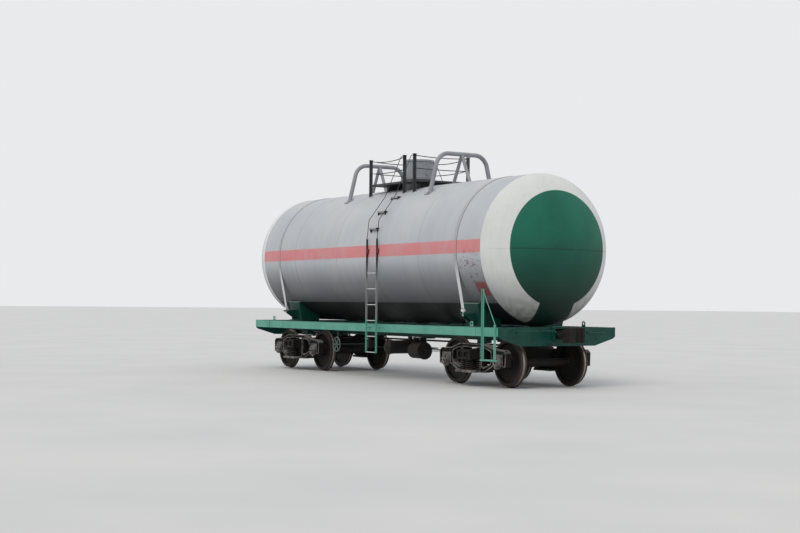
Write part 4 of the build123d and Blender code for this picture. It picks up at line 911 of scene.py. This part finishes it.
# %% Roof bolts
lid_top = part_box("hood")[1].z
hood_x = (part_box("valve_group")[0].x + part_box("valve_group")[1].x) / 2
flange_top, flange_bottom = 4.662, 4.582
flange_bolts_radius = 0.353
handle_half, handle_top = 0.06, lid_top + 0.028
hasp_low, hasp_high = (0.470, -0.025, 4.668), (0.484, 0.025, 4.73)
hood_bolts = bmesh.new()
bolt_ring(hood_bolts, (hood_x, 0, flange_top), (0, 0, 1), flange_bolts_radius, 18, 16, first=5)
bolt_ring(hood_bolts, (hood_x, 0, lid_top), (0, 0, 1), 0.345, 24, 14, first=7.5)
handle = [(hood_x, -handle_half, lid_top), (hood_x, -handle_half, handle_top),
          (hood_x, handle_half, handle_top), (hood_x, handle_half, lid_top)]
bar(hood_bolts, bend(handle, 0.015), 0.006)
plate(hood_bolts, hasp_low, hasp_high)
piece("hood_bolts", hood_bolts, "roof_steel", "hood", smooth_angle=50, finish=hood_finish)

base_bolts = bmesh.new()
bolt_ring(base_bolts, (hood_x, 0, flange_bottom), (0, 0, -1), flange_bolts_radius, 18, 16, first=5)
bolt_ring(base_bolts, (hood_x, 0, cover_top), (0, 0, 1), 0.282, 20, 24)
piece("hood_base_bolts", base_bolts, "roof_steel", "car")
print("hood axis at x", round(hood_x, 3))

# %% [markdown]
# ## Feet, stems and hand wheels of the valves
# Each valve is bolted to the cover through a round foot. The two liquid valves and the gas valve
# have a side stem with a small hand wheel, turned away from the middle so that a glove fits round
# it. The safety valve in the middle has none, because nobody may close it.

# %% Valve feet and hand wheels
valves = ((0.13, 0.11, 0.060, 6, 1), (0.13, -0.11, 0.060, 6, 1),
          (-0.14, 0, 0.060, 6, -1), (0, 0, 0.084, 8, 0))
foot_height = 0.013
stem_z = 4.75
stem = ((0.018, 0.030), (0.018, 0.052), (0.008, 0.056), (0.008, 0.105), (0.0, 0.105))
wheel_out = 0.098
wheel_rim = round_wire(0.044, 0.006)
spoke_half = 0.043
feet = bmesh.new()
wheels = bmesh.new()
for dx, y, foot_radius, count, out in valves:
    x = hood_x + dx
    foot = ((0.030, 0), (foot_radius, 0), (foot_radius, 0.011), (foot_radius - 0.002, foot_height),
            (0.030, foot_height))
    spin(feet, foot, (x, y, cover_top), (0, 0, 1), steps=32)
    bolt_ring(feet, (x, y, cover_top + foot_height), (0, 0, 1), foot_radius - 0.011, count, 16)
    if out:
        spin(feet, stem, (x, y, stem_z), (out, 0, 0), steps=16)
        wheel_x = x + out * wheel_out
        spin(wheels, wheel_rim, (wheel_x, y, stem_z), (1, 0, 0), steps=28, closed=True)
        for turn in (0, pi / 3, 2 * pi / 3):
            dy, dz = spoke_half * cos(turn), spoke_half * sin(turn)
            bar(wheels, [(wheel_x, y - dy, stem_z - dz), (wheel_x, y + dy, stem_z + dz)],
                0.004, sides=6)
piece("valve_feet", feet, "valve_bronze", "car")
piece("valve_wheels", wheels, "brake_black", "car", smooth_angle=60)

# %% [markdown]
# ## A platform that boots can trust
# The deck is rolled with raised lozenges, 30 mm long and 1.5 mm high, that point two ways in
# turn. They give grip in every direction and let rain run off. The hood's collar stands in a
# plain ring.

# %% Lozenges on the deck
deck_low, deck_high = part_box("roof_deck")
pitch = 0.05
collar_radius = 0.40
lozenge_length, lozenge_width = 0.030, 0.010
foot_rise, top_rise = -0.0005, 0.0015


def lozenge(mesh, x, y, z, turned):
    long, short = lozenge_length / 2, lozenge_width / 2
    if turned:
        long, short = short, long
    rings = []
    for share, rise in ((1, foot_rise), (0.6, top_rise)):
        spots = ((long * share, 0), (0, short * share), (-long * share, 0), (0, -short * share))
        rings.append([mesh.verts.new((x + dx, y + dy, z + rise)) for dx, dy in spots])
    for k in range(4):
        mesh.faces.new((rings[0][k], rings[0][(k + 1) % 4], rings[1][(k + 1) % 4], rings[1][k]))
    mesh.faces.new(rings[1])


lozenges = bmesh.new()
for i in range(int((deck_high.x - deck_low.x - 0.04) / pitch) + 1):
    for j in range(int((deck_high.y - deck_low.y - 0.04) / pitch) + 1):
        x, y = deck_low.x + 0.03 + i * pitch, deck_low.y + 0.02 + j * pitch
        if sqrt((x - hood_x) ** 2 + y ** 2) > collar_radius:
            lozenge(lozenges, x, y, deck_high.z, (i + j) % 2)
piece("deck_lozenges", lozenges, "roof_steel", "car", finish=rail_finish)

# %% [markdown]
# ## Weld beads at the feet of the crash arcs
# Each bent tube stands on a pad and is welded all round, which a torus 12 mm thick shows. The two
# braces of each arc end on the crown of the tank in the same way.

# %% Beads at the arcs' feet
tube_ring, brace_ring = round_wire(0.054, 0.006), round_wire(0.042, 0.006)
tube_y, tube_z = 0.855, 4.138
brace_x, brace_z = 0.345, 4.396
foot_beads = bmesh.new()
for name in ("crash_arc_a", "crash_arc_b"):
    middle = (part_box(name)[0].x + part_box(name)[1].x) / 2
    for y in (-tube_y, tube_y):
        spin(foot_beads, tube_ring, (middle, y, tube_z), (0, 0, 1), closed=True)
    for dx in (-brace_x, brace_x):
        spin(foot_beads, brace_ring, (middle + dx, 0, brace_z), (0, 0, 1), closed=True)
piece("arc_foot_welds", foot_beads, "roof_steel", "car", smooth_angle=60)

# %% [markdown]
# ## Air brake: covers, bands and pipes
# Compressed air works the brake. Its cylinder and distributor are closed by bolted covers and the
# reservoir hangs in two bands. Pipes 24 mm thick join them: a branch from the main pipe to the
# distributor, one on to the reservoir, and one to the cylinder.

# %% Bolts, bands and pipes of the brake
cylinder_cover = (1.185, -0.48, 0.628)
distributor_x, distributor_y, distributor_z = -0.95, 0.5, 0.728
cover_half = 0.16
reservoir_x, reservoir_z = 0.15, 0.688
hanger_places = (-0.72, 0.06)
hanger_band = ((0.154, -0.016), (0.158, -0.016), (0.158, 0.016), (0.154, 0.016))
drain_y = -0.89
brake = bmesh.new()
bolt_ring(brake, cylinder_cover, (1, 0, 0), 0.165, 12, 22)
for side in (-1, 1):
    cover = (distributor_x + side * cover_half, distributor_y, distributor_z)
    bolt_ring(brake, cover, (side, 0, 0), 0.075, 6, 20, first=30)
for y in hanger_places:
    spin(brake, hanger_band, (reservoir_x, y, reservoir_z), (0, 1, 0), steps=48, closed=True)
bolt(brake, (reservoir_x, drain_y, reservoir_z), (0, -1, 0), 44)
piece("brake_fittings", brake, "brake_black", "car")

pipe_paths = (
    [(-0.92, 0.265, 0.814), (-0.92, 0.265, 0.74), (-0.92, 0.40, 0.74)],
    [(-0.98, 0.40, 0.70), (-0.98, 0.34, 0.70), (0.15, 0.34, 0.70), (0.15, 0.23, 0.70)],
    [(-0.89, 0.40, 0.66), (-0.89, 0.37, 0.66), (0.45, 0.37, 0.66), (0.45, -0.48, 0.66),
     (0.73, -0.48, 0.66)])
pipe_bend, pipe_radius = 0.028, 0.012
pipes = bmesh.new()
for path in pipe_paths:
    bar(pipes, bend(path, pipe_bend), pipe_radius)
piece("brake_pipes", pipes, "brake_black", "car", smooth_angle=60)

handwheel_x, handwheel_z = -1.14, 0.718
wheel_nut = bmesh.new()
bolt(wheel_nut, (handwheel_x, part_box("handwheel")[0].y, handwheel_z), (0, -1, 0), 36)
piece("handwheel_nut", wheel_nut, "sill_teal", "handwheel", finish=handwheel_finish)

# %% [markdown]
# ## Floor, light and camera
# The car stands on a plain pale floor under soft light. The world gives most of it, as an
# overcast sky does, and one broad sun gives it direction. The backdrop is a colour that only the
# camera, gloss and glass see. The camera stands where the photographer stood: beside the line,
# low, with a lens of about 64 mm.

# %% Floor
floor_mesh = bmesh.new()
floor_half = 400
corners = [(-floor_half, -floor_half, 0), (floor_half, -floor_half, 0),
           (floor_half, floor_half, 0), (-floor_half, floor_half, 0)]
floor_mesh.faces.new([floor_mesh.verts.new(corner) for corner in corners])
floor_data = bpy.data.meshes.new("floor")
floor_mesh.to_mesh(floor_data)
floor_mesh.free()
floor = bpy.data.objects.new("floor", floor_data)
bpy.context.scene.collection.objects.link(floor)
floor_finish, floor_tree = new_finish("pale studio floor")
floor_clouds = blotches(floor_tree, 3000, 0.3, 0.7)
close_finish(floor_tree, coat(floor_tree, "#D2D2D2", "#CACBCC", floor_clouds), 0.8)
floor_data.materials.append(floor_finish)
floor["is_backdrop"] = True
print("floor", 2 * floor_half, "m wide")

# %% Light
sky_strength = 0.8
world = bpy.data.worlds.new("overcast studio")
bpy.context.scene.world = world
world.use_nodes = True
sky = world.node_tree
sky.nodes.clear()
paths = add_node(sky, "ShaderNodeLightPath")
lit = add_node(sky, "ShaderNodeBackground", feeds={"Color": "#F3F5F8", "Strength": sky_strength})
seen = add_node(sky, "ShaderNodeBackground", feeds={"Color": "#E9EAEC", "Strength": 1.0})
looked_at = paths.outputs["Is Camera Ray"]
for ray in ("Is Glossy Ray", "Is Transmission Ray"):
    looked_at = reckon(sky, "MAXIMUM", looked_at, paths.outputs[ray])
choice = add_node(sky, "ShaderNodeMixShader",
                  feeds={0: looked_at, 1: lit.outputs[0], 2: seen.outputs[0]})
add_node(sky, "ShaderNodeOutputWorld", feeds={"Surface": choice.outputs[0]})

sun_data = bpy.data.lights.new("broad sun", "SUN")
sun_data.energy = 1.1
sun_data.angle = radians(35)
sun_data.color = linear("#FFF8EE")[:3]
sun = bpy.data.objects.new("broad sun", sun_data)
sun.rotation_euler = Vector((-0.45, 0.75, -1.25)).to_track_quat("-Z", "Y").to_euler()
bpy.context.scene.collection.objects.link(sun)
bpy.context.scene.view_settings.view_transform = "Standard"
print("sun", sun_data.energy, "sky", sky_strength)

# %% Camera
camera_place = Vector((27.9782, -17.7814, 1.6762))
yaw, tilt, roll = 1.0156, 0.0266, 0.0094
lens_mm = 63.614
sensor_mm = 36
forward = Vector((-sin(yaw) * cos(tilt), cos(yaw) * cos(tilt), sin(tilt)))
level_right = Vector((cos(yaw), sin(yaw), 0))
level_up = level_right.cross(forward)
right = level_right * cos(roll) + level_up * sin(roll)
up = level_up * cos(roll) - level_right * sin(roll)
camera_data = bpy.data.cameras.new("camera")
camera_data.lens = lens_mm
camera_data.sensor_width = sensor_mm
camera_data.clip_end = 1500
camera = bpy.data.objects.new("camera", camera_data)
turned = Matrix((right, up, -forward)).transposed().to_4x4()
camera.matrix_world = Matrix.Translation(camera_place) @ turned
bpy.context.scene.collection.objects.link(camera)
bpy.context.scene.camera = camera
print("camera looks along", [round(v, 3) for v in forward])

# %% [markdown]
# ## Last check
# The dressed car must stay as large as the CAD model, so both boxes are kept before the finish.

# %% Write the sizes and finish
full_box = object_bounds()
pairs = zip((*cad_box[0], *cad_box[1]), (*full_box[0], *full_box[1]))
print("grown by", [round(after - before, 4) for before, after in pairs])
